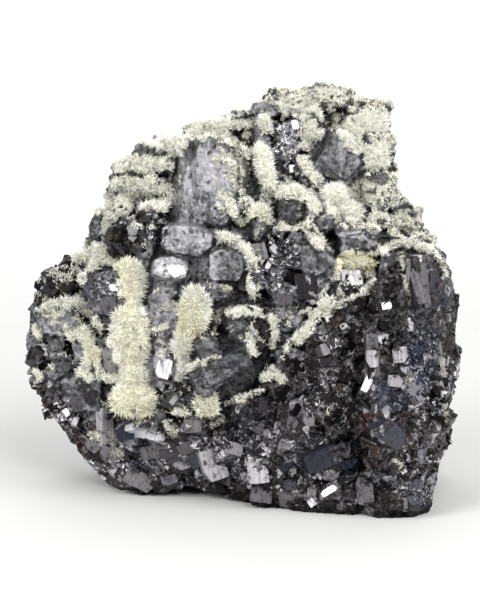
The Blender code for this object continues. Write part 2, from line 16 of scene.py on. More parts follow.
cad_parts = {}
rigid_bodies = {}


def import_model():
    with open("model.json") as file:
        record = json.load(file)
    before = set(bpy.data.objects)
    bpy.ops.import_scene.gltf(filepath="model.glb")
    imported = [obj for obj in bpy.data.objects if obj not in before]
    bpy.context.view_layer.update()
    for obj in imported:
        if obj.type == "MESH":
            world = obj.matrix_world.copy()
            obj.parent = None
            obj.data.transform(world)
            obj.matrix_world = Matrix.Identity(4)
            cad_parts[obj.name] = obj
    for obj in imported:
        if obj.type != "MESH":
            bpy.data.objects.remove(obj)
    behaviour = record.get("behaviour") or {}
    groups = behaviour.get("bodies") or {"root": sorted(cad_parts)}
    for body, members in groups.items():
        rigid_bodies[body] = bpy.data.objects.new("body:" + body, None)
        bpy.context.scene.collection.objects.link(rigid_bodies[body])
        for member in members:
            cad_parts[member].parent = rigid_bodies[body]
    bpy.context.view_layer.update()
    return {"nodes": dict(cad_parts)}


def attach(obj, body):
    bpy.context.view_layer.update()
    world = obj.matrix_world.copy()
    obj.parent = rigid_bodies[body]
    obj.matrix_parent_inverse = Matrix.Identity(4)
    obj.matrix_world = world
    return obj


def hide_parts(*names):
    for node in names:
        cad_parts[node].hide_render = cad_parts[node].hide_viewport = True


bl_info = {
    "name": "Galena Specimen",
    "version": (1, 0, 0),
    "blender": (4, 5, 0),
    "location": "3D View > Sidebar > Specimen",
    "description": "Dresses a lump of galena ore with cleavage, crystals, sphalerite and druse",
    "category": "Object",
}

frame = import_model()

MM = 0.001

# The front view, which the tables below are written in: millimetres across and up. It looks along
# +y and down by LOOK_DOWN. SHIFT is where its zero lies in the part's own frame, and at the depth
# FRONT its zero of height is on the floor.
LOOK_DOWN = math.radians(12.0)
COS, SIN = math.cos(LOOK_DOWN), math.sin(LOOK_DOWN)
FRONT = -35.0
SHIFT = (-0.61, 0.57)
SIGHT = Vector((0.0, COS, -SIN))

# The middle of the ore, and the way that the druse grew.
ORE_MIDDLE = np.array((-0.0006, 0.0036, 0.042))
GROWTH = np.array((0.42, -0.12, 0.9)) / np.linalg.norm((0.42, -0.12, 0.9))

# The most triangles that the ore is made of.
MOST_TRIANGLES = 196_000

# Edges of the ore that turn more than this are sharp.
SHARP = math.radians(24.0)

# The grid that a packed crust or cluster is remeshed on, so that more can be set all over it.
FINE_GRID = 0.5 * MM

# Where the front lamp stands from the specimen, in metres.
FRONT_LAMP = (0.35, -1.25, 1.0)

# How far the floor reaches each way, in metres.
FLOOR = 4.0

# The camera, in metres: how far off it stands, how tall a view it has there, and its aim.
CAMERA_OFF = 1.2
CAMERA_SEES = 0.15125
CAMERA_AIM = (SHIFT[0] * MM, (-10 + SHIFT[1]) * MM, 0.04976)

# The rim between the crystals above it and the broken ore below it.
RIM = (
    (-60, 44), (-55, 39), (-45, 31), (-35, 22), (-22, 19.5), (-6, 23), (2.5, 29.5), (12.5, 42),
    (16.5, 48.5), (22.5, 54.5), (32.5, 58.2), (40, 67.5), (47, 68.5), (60, 66),
)

# The crack that runs down through the broken ore.
CRACK = ((31.5, 43), (29, 38.5), (30.5, 34), (27.5, 29), (28.8, 23.5), (25.5, 18.5))

# Thin pale veins.
VEINS = (
    ((50, 39.5), (50.8, 36), (50.2, 32), (51.4, 28), (51, 24.5)),
    ((39.8, 66), (40.4, 61), (41.4, 57), (42, 54.5)),
    ((41.3, 37.8), (42.5, 34.2)),
)

# Ridges and fringes of druse: how wide to each side, and the places that each runs through.
FRINGES = (
    (1.8, (-21.25, 94.25), (-18, 94.25), (-14.5, 93.5)),
    (1.2, (-17, 92), (-15, 91)),
    (1.7, (-30, 87.75), (-26.25, 88.75), (-21.25, 88.25), (-18, 87.75)),
    (2.0, (-27.5, 83), (-22.5, 83), (-17.5, 83.25), (-15.75, 84)),
    (1.5, (-30.75, 83.5), (-31.5, 80.75), (-30.25, 78)),
    (2.0, (-35.75, 78), (-32.5, 79.25), (-28.75, 78)),
    (1.9, (-24.5, 78.75), (-22.5, 79.75), (-20.5, 78.25)),
    (1, (-28.25, 78), (-30.25, 76), (-32.5, 73.5), (-34, 71.25)),
    (1, (-17.25, 81.5), (-18, 79), (-19, 76.75)),
    (1.2, (-14, 98.75), (-10.75, 99), (-7.25, 100), (-5, 101.2)),
    (1.1, (-8, 98.75), (-2.5, 98.5), (2, 98.25)),
    (1.2, (-12.5, 96.25), (-10.25, 96.75)),
    (1.2, (-8.25, 96.75), (-4.75, 95.75), (-2, 94.25), (0.25, 93)),
    (1.2, (-2.75, 78), (-1.5, 75.75), (0.25, 73.75)),
    (1.2, (1.5, 78.25), (4, 77.75), (6.25, 77.25)),
    (0.75, (5.5, 75.75), (7.75, 73.75)),
    (1.2, (10.25, 82), (12.75, 82.5), (15.75, 81.75), (18, 80)),
    (1, (19.5, 78), (17.75, 75.75), (16.5, 73)),
    (0.62, (9.5, 72.25), (13, 72), (15.75, 73)),
    (1.2, (17, 72.25), (18.25, 69.75), (19.5, 67.25)),
    (1.5, (15.75, 88.5), (17.75, 86), (19.25, 83.75)),
    (2, (21.5, 80.5), (24.25, 81.5), (26.5, 80.25)),
    (1.5, (22.5, 77.5), (25, 76.5), (27.5, 74.75)),
    (1.5, (25.5, 96.75), (27, 94.25), (29, 92)),
    (1.5, (17.25, 105), (16.75, 100.8), (16.25, 97), (16.5, 93.25)),
    (1.5, (6, 99), (6.75, 97.75)),
    (1, (33, 66), (37, 67.75), (40.25, 68.75), (43.25, 68), (47, 66.75)),
    (1.8, (25.75, 65), (29, 64.75), (31.5, 64.5)),
    (0.7, (24.5, 64), (23.75, 60.5), (22.5, 58), (20.25, 55.75), (18, 53.75)),
    (0.8, (17, 51.75), (18.25, 50), (17.25, 48)),
    (0.5, (15.75, 46.75), (13.5, 45), (11.5, 42.5), (10.75, 40)),
    (1.2, (32, 62), (32.5, 59), (31, 56.5)),
    (0.5, (31, 56.25), (28.25, 55), (25.75, 54.5), (23.75, 52.75), (21.25, 51)),
    (1, (0.25, 68.25), (2.5, 67), (4.75, 64)),
    (1, (3.25, 62.5), (2.5, 59.75), (2.25, 57.5)),
    (1, (-2.75, 51.5), (0.25, 51.5), (4, 51.25)),
    (0.75, (48.5, 66), (50.5, 63.75), (51.75, 61)),
    (1.5, (-45, 65.25), (-42, 67.25), (-37.5, 68), (-35.25, 66.75)),
    (1.2, (-45, 61.25), (-41.75, 60.75), (-39.25, 59.25)),
    (1.5, (-37, 63.75), (-33.75, 64.75), (-31, 63.75)),
    (1.1, (-48.75, 52.75), (-45, 53), (-40.5, 52.5), (-37, 50.75)),
    (1, (-36.25, 49.5), (-34.75, 46.75)),
    (1.9, (-39.25, 45.75), (-37.25, 43), (-36, 40.25)),
    (1.2, (-40.25, 36.25), (-37.5, 35)),
    (1.2, (-34.5, 35.25), (-31, 34.75), (-27.25, 33.75), (-23.75, 33.75)),
    (1, (-35.75, 38), (-35.25, 36)),
    (1.5, (-13.5, 44), (-14.25, 40.5), (-14.75, 37.25)),
    (0.4, (-10.25, 39), (-7.5, 40), (-4.75, 40.25)),
    (0.55, (-3.5, 28.5), (0, 30), (3, 31.25), (5.5, 32.25)),
    (1.2, (6, 35), (8.5, 36.5), (10.5, 34.75)),
    (1, (2.5, 46.75), (2.25, 43.5), (4, 40.5)),
    (1, (7.75, 49.5), (9, 46.75), (8, 43.25)),
    (1.1, (-17.75, 24), (-17.25, 21.5)),
    (0.75, (-7, 23.25), (-4.5, 24.5)),
    (0.75, (-14, 36.5), (-11, 38), (-9, 39)),
    (0.75, (-52.5, 36.75), (-50, 35.25), (-51, 33.5)),
    (0.75, (-51.75, 47.5), (-50.5, 45)),
    (1, (-43.5, 47), (-42, 45)),
    (0.75, (-21, 47), (-18.5, 48)),
    (1, (-16, 26.75), (-13.5, 26.25)),
)

# Each row of five numbers in the tables below is a soft round spot of the front view: across, up,
# the two radii, and how much.

# Where druse covers more than its rule gives (above 0) or less (below 0).
COVER = (
    (35, 92, 13, 15, 0.25),
    (40, 74, 9, 12, 0.15),
    (20, 103, 14, 6, 0.2),
    (31, 66, 9, 6, -0.05),
    (-1.5, 84, 2.5, 11, 0.1),
    (2.6, 81, 2.0, 8, -0.8),
    (-2, 97, 11, 4, 0.25),
    (-24, 83, 11, 10, 0.1),
    (-38, 62, 9, 6, 0.1),
    (-40, 50, 10, 8, 0.12),
    (-14, 80, 7, 14, -0.8),
    (-12, 69, 12, 5, -0.9),
    (-3, 63, 9, 5, -0.8),
    (-18, 62, 7, 5, -0.9),
    (15, 61, 10, 9, -0.8),
    (25, 90, 7, 7, -0.9),
    (10.5, 96.5, 5, 5, -0.6),
    (-33, 57, 6, 6, -0.7),
    (-32, 42, 5, 6, -0.6),
    (-46, 22, 12, 9, -0.6),
    (41, 60, 8, 8, -0.8),
    (-6, 38, 12, 7, -0.7),
    (-20, 34, 5, 5, -0.7),
)

# Dark holes in the druse; the ore in them is painted darker, as shade.
HOLES = (
    (21.3, 100.5, 2.3, 3.6, 0.6),
    (34.4, 85, 2.2, 1.5, 0.9),
    (31.2, 76.6, 1.6, 1.5, 0.8),
    (35.5, 73.6, 2.2, 1.3, 0.8),
    (36, 70, 1.8, 2.2, 0.8),
    (38.5, 89, 1.5, 2.5, 0.5),
    (-3.5, 94.5, 4, 2.5, 0.5),
)

# Large crystals whose faces stay whole.
WHOLE = (
    (-9, 87, 9, 17, 1),
    (-12, 69.5, 9, 6, 1),
    (-3.5, 63, 6, 6, 1),
    (-17, 62, 7, 5, 1),
    (-23, 68, 4, 6, 1),
    (-18, 53, 6, 8, 1),
    (-5, 38, 9, 7, 1),
    (25, 90, 8, 8, 1),
    (18, 64, 6, 6, 1),
    (37, 60, 5, 8, 1),
    (-32, 57, 6, 6, 1),
    (-20, 36, 5, 6, 1),
)

# Faces that are paler (above 0) or darker (below 0) than the rest. Some are so by their own colour;
# others are painted light: a side painted paler or darker by how the lamps fall on it, painted
# highlights on bright plates, and painted shade in gaps between crystals.
TONE_AND_PAINTED_LIGHT = (
    (-7.1, 84, 5.2, 13, 0.42),
    (-14.4, 83, 2.6, 11, 0.55),
    (-12.4, 91.8, 1.6, 2.4, -0.75),
    (-12, 69.5, 8, 5, 0.18),
    (-23, 68, 3.5, 6, 0.12),
    (-17.5, 62, 5, 3.5, 0.45),
    (12.5, 95, 5, 5, 0.8),
    (-19, 55, 4.5, 5, 0.3),
    (-20, 37, 5, 6, 0.4),
    (-3.5, 63, 5.5, 5.5, 0.1),
    (15, 61, 11, 11, 0.05),
    (18, 64, 5, 5, -0.3),
    (-9.5, 62.5, 2.5, 3.5, 0.3),
    (25, 90, 8, 8, -0.1),
    (-33, 58, 6.5, 6, -0.45),
    (-4, 38, 10, 8, -0.2),
    (2, 48, 8, 7, -0.3),
    (13, 79, 5, 6, -0.8),
    (2.8, 81, 2.2, 8, -0.95),
    (-26, 88, 12, 9, -0.3),
    (-36, 72, 8, 8, -0.35),
    (31, 49.5, 9, 4.5, -0.65),
    (37.5, 59.5, 4, 8, -0.7),
    (29, 33, 3.5, 6, -0.8),
    (27, 21, 4.5, 6, -0.85),
    (32, 11.5, 7, 5.5, -0.7),
    (45, 60, 5, 9, 0.12),
    (12, 33.5, 8, 4, -0.45),
    (8, 26, 8, 4, -0.2),
    (20, 34, 6, 8, 0.15),
    (-27.6, 71.3, 4.6, 6.2, -0.6),
    (-30, 14, 12, 9, 0.9),
    (-21, 15, 9, 6, 0.8),
    (41, 40, 9, 13, -0.38),
    (-8, 13, 8, 7, 0.8),
    (11, 14, 12, 8, 0.38),
    (-44.5, 48, 6, 3.5, 0.35),
    (1, 23, 7, 3.5, -0.35),
    (-20, 26, 6, 4, -0.4),
)

# Grown crystals that are chipped and sparkle, and parts of the ore that do. The sparkle is partly
# chipped relief and partly painted glints.
SPARKLE = (
    (9, 64, 6, 7, 1.0),
    (-6, 80, 4, 8, 0.3),
    (17, 57, 6, 5, 0.5),
    (-33, 57, 4.5, 4.5, 0.5),
    (13, 95, 6, 6, 0.9),
    (13, 86, 3, 4, 0.8),
    (28, 60, 4, 4, 1.0),
    (-20.5, 72.5, 3, 5, 0.9),
    (-14, 66, 7, 5, 0.3),
    (20, 36, 6, 9, 0.25),
    (24, 29, 5, 7, 0.3),
    (-44, 25, 6, 5, 0.6),
    (-2, 16, 9, 7, 0.35),
    (44, 12, 6, 9, 0.4),
    (46, 36, 6, 12, 0.35),
)

# Dark blue tarnish.
TARNISH = (
    (44.7, 37.7, 4, 6.5, 0.9),
    (38, 31, 4.5, 4, 0.7),
    (20.5, 15, 9, 6, 0.55),
    (36.5, 21.5, 5, 4, 0.5),
    (46, 6.5, 4, 4.5, 0.6),
    (47.5, 53, 5, 12, 0.5),
    (-24.5, 15, 5.5, 5, 0.6),
    (-33, 57, 5, 4, 0.3),
    (-2, 40, 4, 3, 0.4),
)

# Rust.
RUST = (
    (-46, 21, 4, 2.2, 0.8),
    (-40, 18, 3.5, 3, 0.8),
    (-29, 9, 4.5, 3, 0.6),
    (25.5, 33.5, 2.5, 2.5, 0.5),
    (30.5, 25, 1.5, 2.5, 0.35),
    (46.5, 9, 2.2, 3, 0.6),
)

# Flecks of druse in the broken ore.
FLECKS = (
    (22.4, 26.6, 1.2, 1.9, 1.0),
    (39, 14.2, 1.0, 1.4, 0.9),
    (-35, 20, 4, 2.2, 0.9),
    (-32, 16, 3, 1.5, 0.7),
    (-17, 22, 1.6, 2.2, 0.9),
)

# Where the druse is yellower.
YELLOW = (
    (-29, 58, 4, 8, 0.6),
    (-27, 42, 5, 10, 0.4),
    (-26, 28, 7, 5, 0.7),
    (-12.5, 49, 4, 6, 0.8),
    (-8, 27.5, 3.5, 4.5, 0.6),
    (28, 63.5, 7, 3, 1.0),
    (-36, 43, 2.5, 5, 0.6),
    (4, 75.5, 3, 3, 0.4),
)

# Flat faces that catch the eye: across, up, width, height, turn in degrees, how pale from 0 (black)
# to 1 (white), partly its own colour and partly a painted reflection, how blue, and whether it
# mirrors a lamp.
FACETS = (
    (32.4, 44.2, 3.0, 4.2, 3, 0.55, 0.0, 0),
    (32.6, 40.0, 2.9, 4.2, 0, 0.84, 0.0, 0),
    (39.4, 41.0, 3.7, 3.9, 4, 0.8, 0.1, 0),
    (38.2, 34.5, 3.6, 2.8, -6, 0.78, 0.1, 0),
    (31.4, 34.2, 1.8, 5.2, -24, 0.9, 0.0, 1),
    (36.1, 53.0, 2.4, 1.8, 10, 1.0, 0.0, 1),
    (41.3, 59.5, 1.2, 10.5, 5, 0.7, 0.0, 0),
    (43.3, 58.8, 2.7, 11.5, 5, 0.5, 0.1, 0),
    (45.8, 58.2, 2.0, 11.0, 4, 0.55, 0.1, 0),
    (48.2, 57.0, 2.4, 10.0, 2, 0.45, 0.4, 0),
    (37.5, 21.3, 6.4, 5.2, -38, 0.45, 0.35, 0),
    (4.5, 12.0, 5.2, 6.2, 4, 0.9, 0.0, 0),
    (5.3, 6.0, 5.4, 4.0, -8, 0.55, 0.1, 0),
    (22.3, 7.4, 5.0, 1.6, 28, 1.0, 0.0, 1),
    (17.8, 4.2, 1.8, 2.0, 30, 0.9, 0.0, 1),
    (30.8, 7.8, 4.2, 6.8, 6, 0.5, 0.0, 0),
    (20.5, 15.5, 10.0, 5.0, 20, 0.32, 0.3, 0),
    (17.0, 24.5, 3.0, 2.4, 0, 0.62, 0.1, 0),
    (20.9, 42.2, 3.0, 3.0, 12, 0.6, 0.0, 0),
    (-25.2, 9.3, 7.6, 4.4, -28, 0.74, 0.1, 0),
    (-17.8, 9.6, 4.0, 3.8, 22, 0.5, 0.2, 0),
    (-6.4, 13.4, 6.0, 8.0, 14, 0.82, 0.0, 0),
    (-10.2, 11.0, 2.4, 2.0, 10, 0.95, 0.0, 1),
    (-11.8, 23.2, 4.4, 3.4, 0, 0.58, 0.0, 0),
    (-33.9, 23.5, 3.4, 9.0, 5, 0.9, 0.0, 0),
    (-28.6, 21.4, 4.5, 3.8, 10, 0.3, 0.5, 0),
    (-37.3, 31.0, 3.6, 5.4, 10, 0.32, 0.0, 0),
    (-43.8, 26.0, 1.4, 2.0, 30, 0.95, 0.0, 1),
    (-46.2, 28.0, 1.6, 1.4, 0, 0.9, 0.0, 1),
    (-41.5, 24.0, 1.4, 2.4, -20, 0.85, 0.0, 1),
    (-31.4, 57.6, 2.2, 1.8, 10, 1.0, 0.0, 1),
    (-32.4, 53.0, 4.4, 3.8, 30, 0.5, 0.1, 0),
    (-19.0, 37.4, 3.6, 5.0, -15, 0.86, 0.0, 1),
    (-30.8, 39.5, 4.6, 6.4, 12, 0.78, 0.0, 0),
    (13.8, 98.4, 1.6, 2.4, 10, 1.0, 0.0, 1),
    (12.9, 87.0, 1.3, 1.9, 0, 0.95, 0.0, 1),
    (27.6, 60.0, 5.0, 4.6, 8, 0.85, 0.0, 1),
    (8.5, 67.0, 1.6, 2.2, 30, 0.8, 0.0, 1),
    (7.0, 63.0, 1.2, 2.0, -20, 0.8, 0.0, 1),
    (5.2, 66.5, 3.0, 4.6, 15, 0.6, 0.0, 0),
    (12.0, 60.5, 4.6, 3.8, -15, 0.36, 0.0, 0),
    (16.6, 58.0, 5.6, 6.4, 8, 0.3, 0.0, 0),
    (11.0, 54.6, 4.0, 2.8, 0, 0.45, 0.0, 0),
    (2.4, 59.0, 5.0, 5.0, -8, 0.38, 0.0, 0),
    (-15.8, 61.8, 4.0, 3.2, 15, 0.9, 0.0, 1),
    (-37.0, 18.0, 4.0, 3.2, -35, 0.7, 0.0, 0),
    (-22.5, 16.5, 5.0, 3.6, 12, 0.62, 0.1, 0),
    (-33.0, 16.0, 4.4, 3.0, -25, 0.66, 0.0, 0),
    (-13.5, 17.5, 4.0, 3.0, 30, 0.55, 0.1, 0),
    (-40.5, 28.5, 3.4, 4.0, 15, 0.55, 0.0, 0),
    (-1.5, 17.5, 4.6, 3.0, -12, 0.6, 0.0, 0),
    (45.2, 16.0, 3.0, 3.6, 10, 0.6, 0.3, 0),
    (43.5, 8.5, 3.4, 3.0, -12, 0.5, 0.3, 0),
    (12.5, 8.5, 3.6, 2.6, 8, 0.4, 0.2, 0),
    (-3.5, 9.5, 3.0, 2.6, -10, 0.5, 0.1, 0),
)

# Crystals whose front face is seen whole: across, up, width, height, turn, and lean to the right.
CRYSTALS = (
    (-14.2, 83.4, 6.0, 18.5, -7, -38),
    (-7.4, 84.5, 9.0, 21.0, 3, 0),
    (-13.3, 69.2, 12.6, 7.2, -7, 0),
    (-17.2, 62.5, 8.8, 5.6, -10, 0),
    (-3.4, 63.1, 8.6, 7.8, 0, 0),
    (-23.2, 68.5, 3.6, 7.4, -5, 0),
    (24.9, 89.6, 9.5, 7.4, -33, 0),
    (-3.5, 38.0, 14.0, 5.4, 30, 0),
    (-32.4, 55.5, 8.2, 10.0, -8, 0),
    (-44.5, 48.0, 10.0, 5.0, 0, 0),
    (-46.4, 36.2, 10.5, 4.2, 42, 0),
    (29.4, 70.0, 9.0, 5.6, 0, 0),
    (12.5, 76.2, 5.3, 6.4, -10, 0),
    (18.2, 64.4, 6.4, 7.6, 5, 0),
    (21.3, 73.6, 3.8, 4.2, 30, 0),
    (-22.5, 90.6, 8.4, 4.2, -15, 0),
    (-26.0, 85.2, 11.0, 3.2, -3, 0),
    (-35.5, 73.0, 4.5, 6.0, -28, 0),
    (3.4, 81.5, 3.6, 5.0, 20, 0),
)

# Black sphalerite crystals on the ore.
BLACK = (
    (-27.6, 71.3, 4.6, 6.2, 1.0),
    (-17.0, 31.5, 3.6, 2.6, 1.0),
    (5.0, 47.0, 2.2, 3.6, 1.0),
    (0.5, 57.5, 2.0, 1.6, 0.8),
)

# What the ore's material reads at each point. Two are hard to guess: one is painted shade, darker
# the further in a gap the point lies and on the lowest part of the ore, and fur is a fringe of
# druse.
ORE_MARKS = (
    "broken", "rubble", "crust", "tone_and_painted_light", "sparkle", "tarnish", "rust", "vein", "painted_shade", "fur",
)

# Druse that is short and speckled with dark gaps, whose floors are painted shade, with how wide its
# gaps are, and the same measure for the thick fur of the rest.
SPECKLED = {
    "druse_blade_side": 0.5, "druse_crest": -0.35, "druse_flank": 0.15, "druse_summit": -0.1,
    "druse_slope": 0.15, "druse_rim": 0.1,
}
THICK_FUR = -0.7


def linear(code):
    """A colour for a shader, from its sRGB hex code."""
    parts = [int(code[i:i + 2], 16) / 255 for i in (1, 3, 5)]
    parts = [c / 12.92 if c <= 0.04045 else ((c + 0.055) / 1.055) ** 2.4 for c in parts]
    return (*parts, 1.0)


# Points, normals and noise, as arrays


def front_view(points):
    """Where points lie in the front view, in millimetres across and up."""
    across = points[:, 0] / MM - SHIFT[0]
    up = COS * points[:, 2] / MM + SIN * (points[:, 1] / MM - SHIFT[1] - FRONT)
    return across, up


def front_half(points):
    """1 on the front and 0 behind, where the tables of the front view don't hold."""
    return smooth(-points[:, 1] / MM, -20, -12)


def spotted(points, spots):
    """What soft spots of the front view add up to at each point."""
    across, up = front_view(points)
    total = np.zeros(len(points))
    for x, z, wide, high, more in spots:
        far = np.hypot((across - x) / wide, (up - z) / high)
        total += more * smooth(-far, -1.2, -0.8)
    return total * front_half(points)


def beside(points, line):
    """How far each point lies from a line of the front view, in millimetres."""
    here = np.stack(front_view(points), 1)
    nearest = np.full(len(points), 99.0)
    for start, end in itertools.pairwise(np.array(line, float)):
        along = end - start
        share = np.clip((here - start) @ along / (along @ along), 0, 1)
        nearest = np.minimum(nearest, np.linalg.norm(here - start - share[:, None] * along, axis=1))
    return nearest


def sight_start(across, up):
    """A point in front of the specimen on the line of sight through a place of the front view."""
    y = -150.0
    z = (up + SIN * (FRONT - y)) / COS
    return Vector((across + SHIFT[0], y + SHIFT[1], z)) * MM


def unit(vectors):
    return vectors / np.maximum(np.linalg.norm(vectors, axis=-1, keepdims=True), 1e-12)


def smooth(value, low, high):
    """0 below low and 1 above high, with a smooth rise between them."""
    t = np.clip((value - low) / (high - low), 0, 1)
    return t * t * (3 - 2 * t)


def hashed(cells, seed):
    """A whole number for each lattice cell, which looks random."""
    h = cells[..., 0] * 73856093 ^ cells[..., 1] * 19349663 ^ cells[..., 2] * 83492791
    h = (h ^ seed * 2654435761) & 0xFFFFFFFF
    h = (h ^ h >> 15) * 2246822519 & 0xFFFFFFFF
    h = (h ^ h >> 13) * 3266489917 & 0xFFFFFFFF
    return h ^ h >> 16


def chance(numbers, salt):
    """A share from 0 to 1 for each hashed number."""
    h = (numbers ^ salt * 40503) * 2654435761 & 0xFFFFFFFF
    return (h ^ h >> 15) % 65521 / 65521


def cloud(points, size, seed=0):
    """Smooth noise from -1 to 1 with lumps of this size in millimetres."""
    p = points / (size * MM)
    base = np.floor(p).astype(np.int64)
    f = p - base
    f = f * f * (3 - 2 * f)
    total = np.zeros(len(points))
    for corner in itertools.product((0, 1), repeat=3):
        weight = np.ones(len(points))
        for axis, side in enumerate(corner):
            weight *= f[:, axis] if side else 1 - f[:, axis]
        total += weight * (chance(hashed(base + np.array(corner), seed), 1) * 2 - 1)
    return total


def grains(points, size, seed=0):
    """The crystal grain that each point lies in: its number and its middle."""
    p = points / (size * MM)
    base = np.floor(p).astype(np.int64)
    best = np.full(len(points), 9.0)
    number = np.zeros(len(points), np.int64)
    middle = np.zeros_like(points)
    for offset in itertools.product((-1, 0, 1), repeat=3):
        cell = base + np.array(offset)
        h = hashed(cell, seed)
        seat = cell + np.stack([chance(h, k) for k in (2, 3, 4)], 1)
        far = np.linalg.norm(seat - p, axis=1)
        nearer = far < best
        best = np.where(nearer, far, best)
        number = np.where(nearer, h, number)
        middle = np.where(nearer[:, None], seat, middle)
    return number, middle * size * MM


def grain_turns(number, out, lean):
    """The cleavage directions of each grain, as the columns of a rotation. The third leans this
    many degrees at most from the way out."""
    wobble = np.stack([chance(number, k) * 2 - 1 for k in (5, 6, 7)], 1)
    out = unit(out + wobble * math.tan(math.radians(lean)))
    side = unit(np.stack([chance(number, k) * 2 - 1 for k in (8, 9, 10)], 1))
    side = unit(side - out * np.sum(side * out, 1, keepdims=True))
    return np.stack([side, np.cross(out, side), out], 2)


def terraced(points, normals, share, size, step, lean, seed):
    """Points moved onto cleavage terraces. Each grain has its own directions and step height."""
    number, middle = grains(points, size, seed)
    turns = grain_turns(number, unit(middle - ORE_MIDDLE), lean)
    height = step * MM * (0.6 + 0.8 * chance(number, 11))
    local = np.einsum("nij,ni->nj", turns, points - middle)
    facing = np.einsum("nij,ni->nj", turns, normals)
    axis = np.argmax(np.abs(facing), axis=1)
    rows = np.arange(len(points))
    level = local[rows, axis]
    shift = np.round(level / height) * height - level
    return points + turns[rows, :, axis] * (shift * share)[:, None]


def relaxed(points, faces, share, rounds):
    """Points drawn towards their neighbours, which rounds off edges where share is above 0."""
    ends = np.concatenate([faces[:, (0, 1)], faces[:, (1, 2)], faces[:, (2, 0)]])
    count = np.maximum(np.bincount(ends[:, 0], minlength=len(points)), 1)[:, None]
    for _ in range(rounds):
        total = [np.bincount(ends[:, 0], points[ends[:, 1], i], len(points)) for i in range(3)]
        points = points + (np.stack(total, 1) / count - points) * share[:, None] * 0.6
    return points


# Meshes as arrays


def read(mesh):
    """Points, point normals and triangles of a mesh."""
    points = np.empty(len(mesh.vertices) * 3, np.float32)
    mesh.vertices.foreach_get("co", points)
    normals = np.empty(len(mesh.vertices) * 3, np.float32)
    mesh.vertex_normals.foreach_get("vector", normals)
    mesh.calc_loop_triangles()
    faces = np.empty(len(mesh.loop_triangles) * 3, np.int32)
    mesh.loop_triangles.foreach_get("vertices", faces)
    points, normals = (values.reshape(-1, 3).astype(float) for values in (points, normals))
    return points, normals, faces.reshape(-1, 3)


def new_mesh(name, chunks):
    """A mesh from chunks of points and faces. A chunk's faces all have as many corners."""
    points = np.concatenate([c[0] for c in chunks])
    corners, totals, first = [], [], 0
    for chunk_points, faces in chunks:
        corners.append((faces + first).ravel())
        totals.append(np.full(len(faces), faces.shape[1]))
        first += len(chunk_points)
    corners, totals = np.concatenate(corners), np.concatenate(totals)
    mesh = bpy.data.meshes.new(name)
    mesh.vertices.add(len(points))
    mesh.vertices.foreach_set("co", points.astype(np.float32).ravel())
    mesh.loops.add(len(corners))
    mesh.loops.foreach_set("vertex_index", corners.astype(np.int32))
    mesh.polygons.add(len(totals))
    mesh.polygons.foreach_set("loop_start", (np.cumsum(totals) - totals).astype(np.int32))
    mesh.update(calc_edges=True)
    mesh.shade_flat()
    return mesh


def write_attribute(mesh, name, values):
    mesh.attributes.new(name, "FLOAT", "POINT").data.foreach_set("value", values.astype(np.float32))


def read_attribute(mesh, name):
    values = np.empty(len(mesh.vertices), np.float32)
    mesh.attributes[name].data.foreach_get("value", values)
    return values


def new_object(name, mesh, material, slot, *replaced):
    """Shows a mesh as a piece that rides on the specimen and stands for the named solids."""
    obj = bpy.data.objects.new(name, mesh)
    bpy.context.scene.collection.objects.link(obj)
    mesh.materials.clear()
    mesh.materials.append(material)
    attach(obj, "root")
    if replaced:
        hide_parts(*replaced)
    return obj


def through(mesh, kind, **settings):
    """The mesh that a modifier makes of this one."""
    obj = bpy.data.objects.new("work", mesh)
    bpy.context.scene.collection.objects.link(obj)
    modifier = obj.modifiers.new("work", kind)
    for name, value in settings.items():
        setattr(modifier, name, value)
    evaluated = obj.evaluated_get(bpy.context.evaluated_depsgraph_get())
    result = bpy.data.meshes.new_from_object(evaluated)
    bpy.data.objects.remove(obj)
    return result


def solid_of(node):
    """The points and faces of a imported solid, with shared corners joined."""
    points, _, faces = read(frame["nodes"][node].data)
    joined_within = 0.001 * MM
    _, index, back = np.unique(
        np.round(points / joined_within).astype(np.int64), axis=0,
        return_index=True, return_inverse=True)
    return points[index], back.ravel()[faces]


def fine_surface(node):
    """The points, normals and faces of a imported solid, remeshed so that more can be set on it."""
    mesh = new_mesh(node, [solid_of(node)])
    return read(through(mesh, "REMESH", mode="VOXEL", voxel_size=FINE_GRID))


def boxes(middles, turns, sides):
    """Blocks with these middles, directions and side lengths."""
    signs = np.array(list(itertools.product((-1, 1), repeat=3)), float)
    local = signs[None] * sides[:, None] / 2
    points = middles[:, None] + np.einsum("nij,nkj->nki", turns, local)
    quads = np.array([
        (0, 1, 3, 2), (4, 6, 7, 5), (0, 4, 5, 1), (2, 3, 7, 6), (0, 2, 6, 4), (1, 5, 7, 3)])
    faces = quads[None] + 8 * np.arange(len(middles))[:, None, None]
    return points.reshape(-1, 3), faces.reshape(-1, 4)


def chips(middles, turns, sides, rng, least=0.04):
    """Cleavage chips: blocks whose flat outer face has four corners broken off unevenly, by at
    least this share of half a side."""
    square = np.array([(-1, -1), (1, -1), (1, 1), (-1, 1)], float)
    rim = []
    for k in range(4):
        cut = least + (0.84 - least) * rng.random((2, len(middles), 1)) ** 2
        rim.append(square[k] + cut[0] * (square[k - 1] - square[k]) / 2)
        rim.append(square[k] + cut[1] * (square[(k + 1) % 4] - square[k]) / 2)
    rim = np.stack(rim, 1)
    points = []
    for level in (1, -1):
        local = np.concatenate([rim, np.full((len(middles), 8, 1), level)], 2) * sides[:, None] / 2
        points.append(middles[:, None] + np.einsum("nij,nkj->nki", turns, local))
    points = np.concatenate(points, 1)
    tris = [(0, k, k + 1) for k in range(1, 7)] + [(8, 9 + k, 8 + k) for k in range(1, 7)]
    for k in range(8):
        n = (k + 1) % 8
        tris += [(k, 8 + k, 8 + n), (k, 8 + n, n)]
    faces = np.array(tris)[None] + 16 * np.arange(len(middles))[:, None, None]
    return points.reshape(-1, 3), faces.reshape(-1, 3)


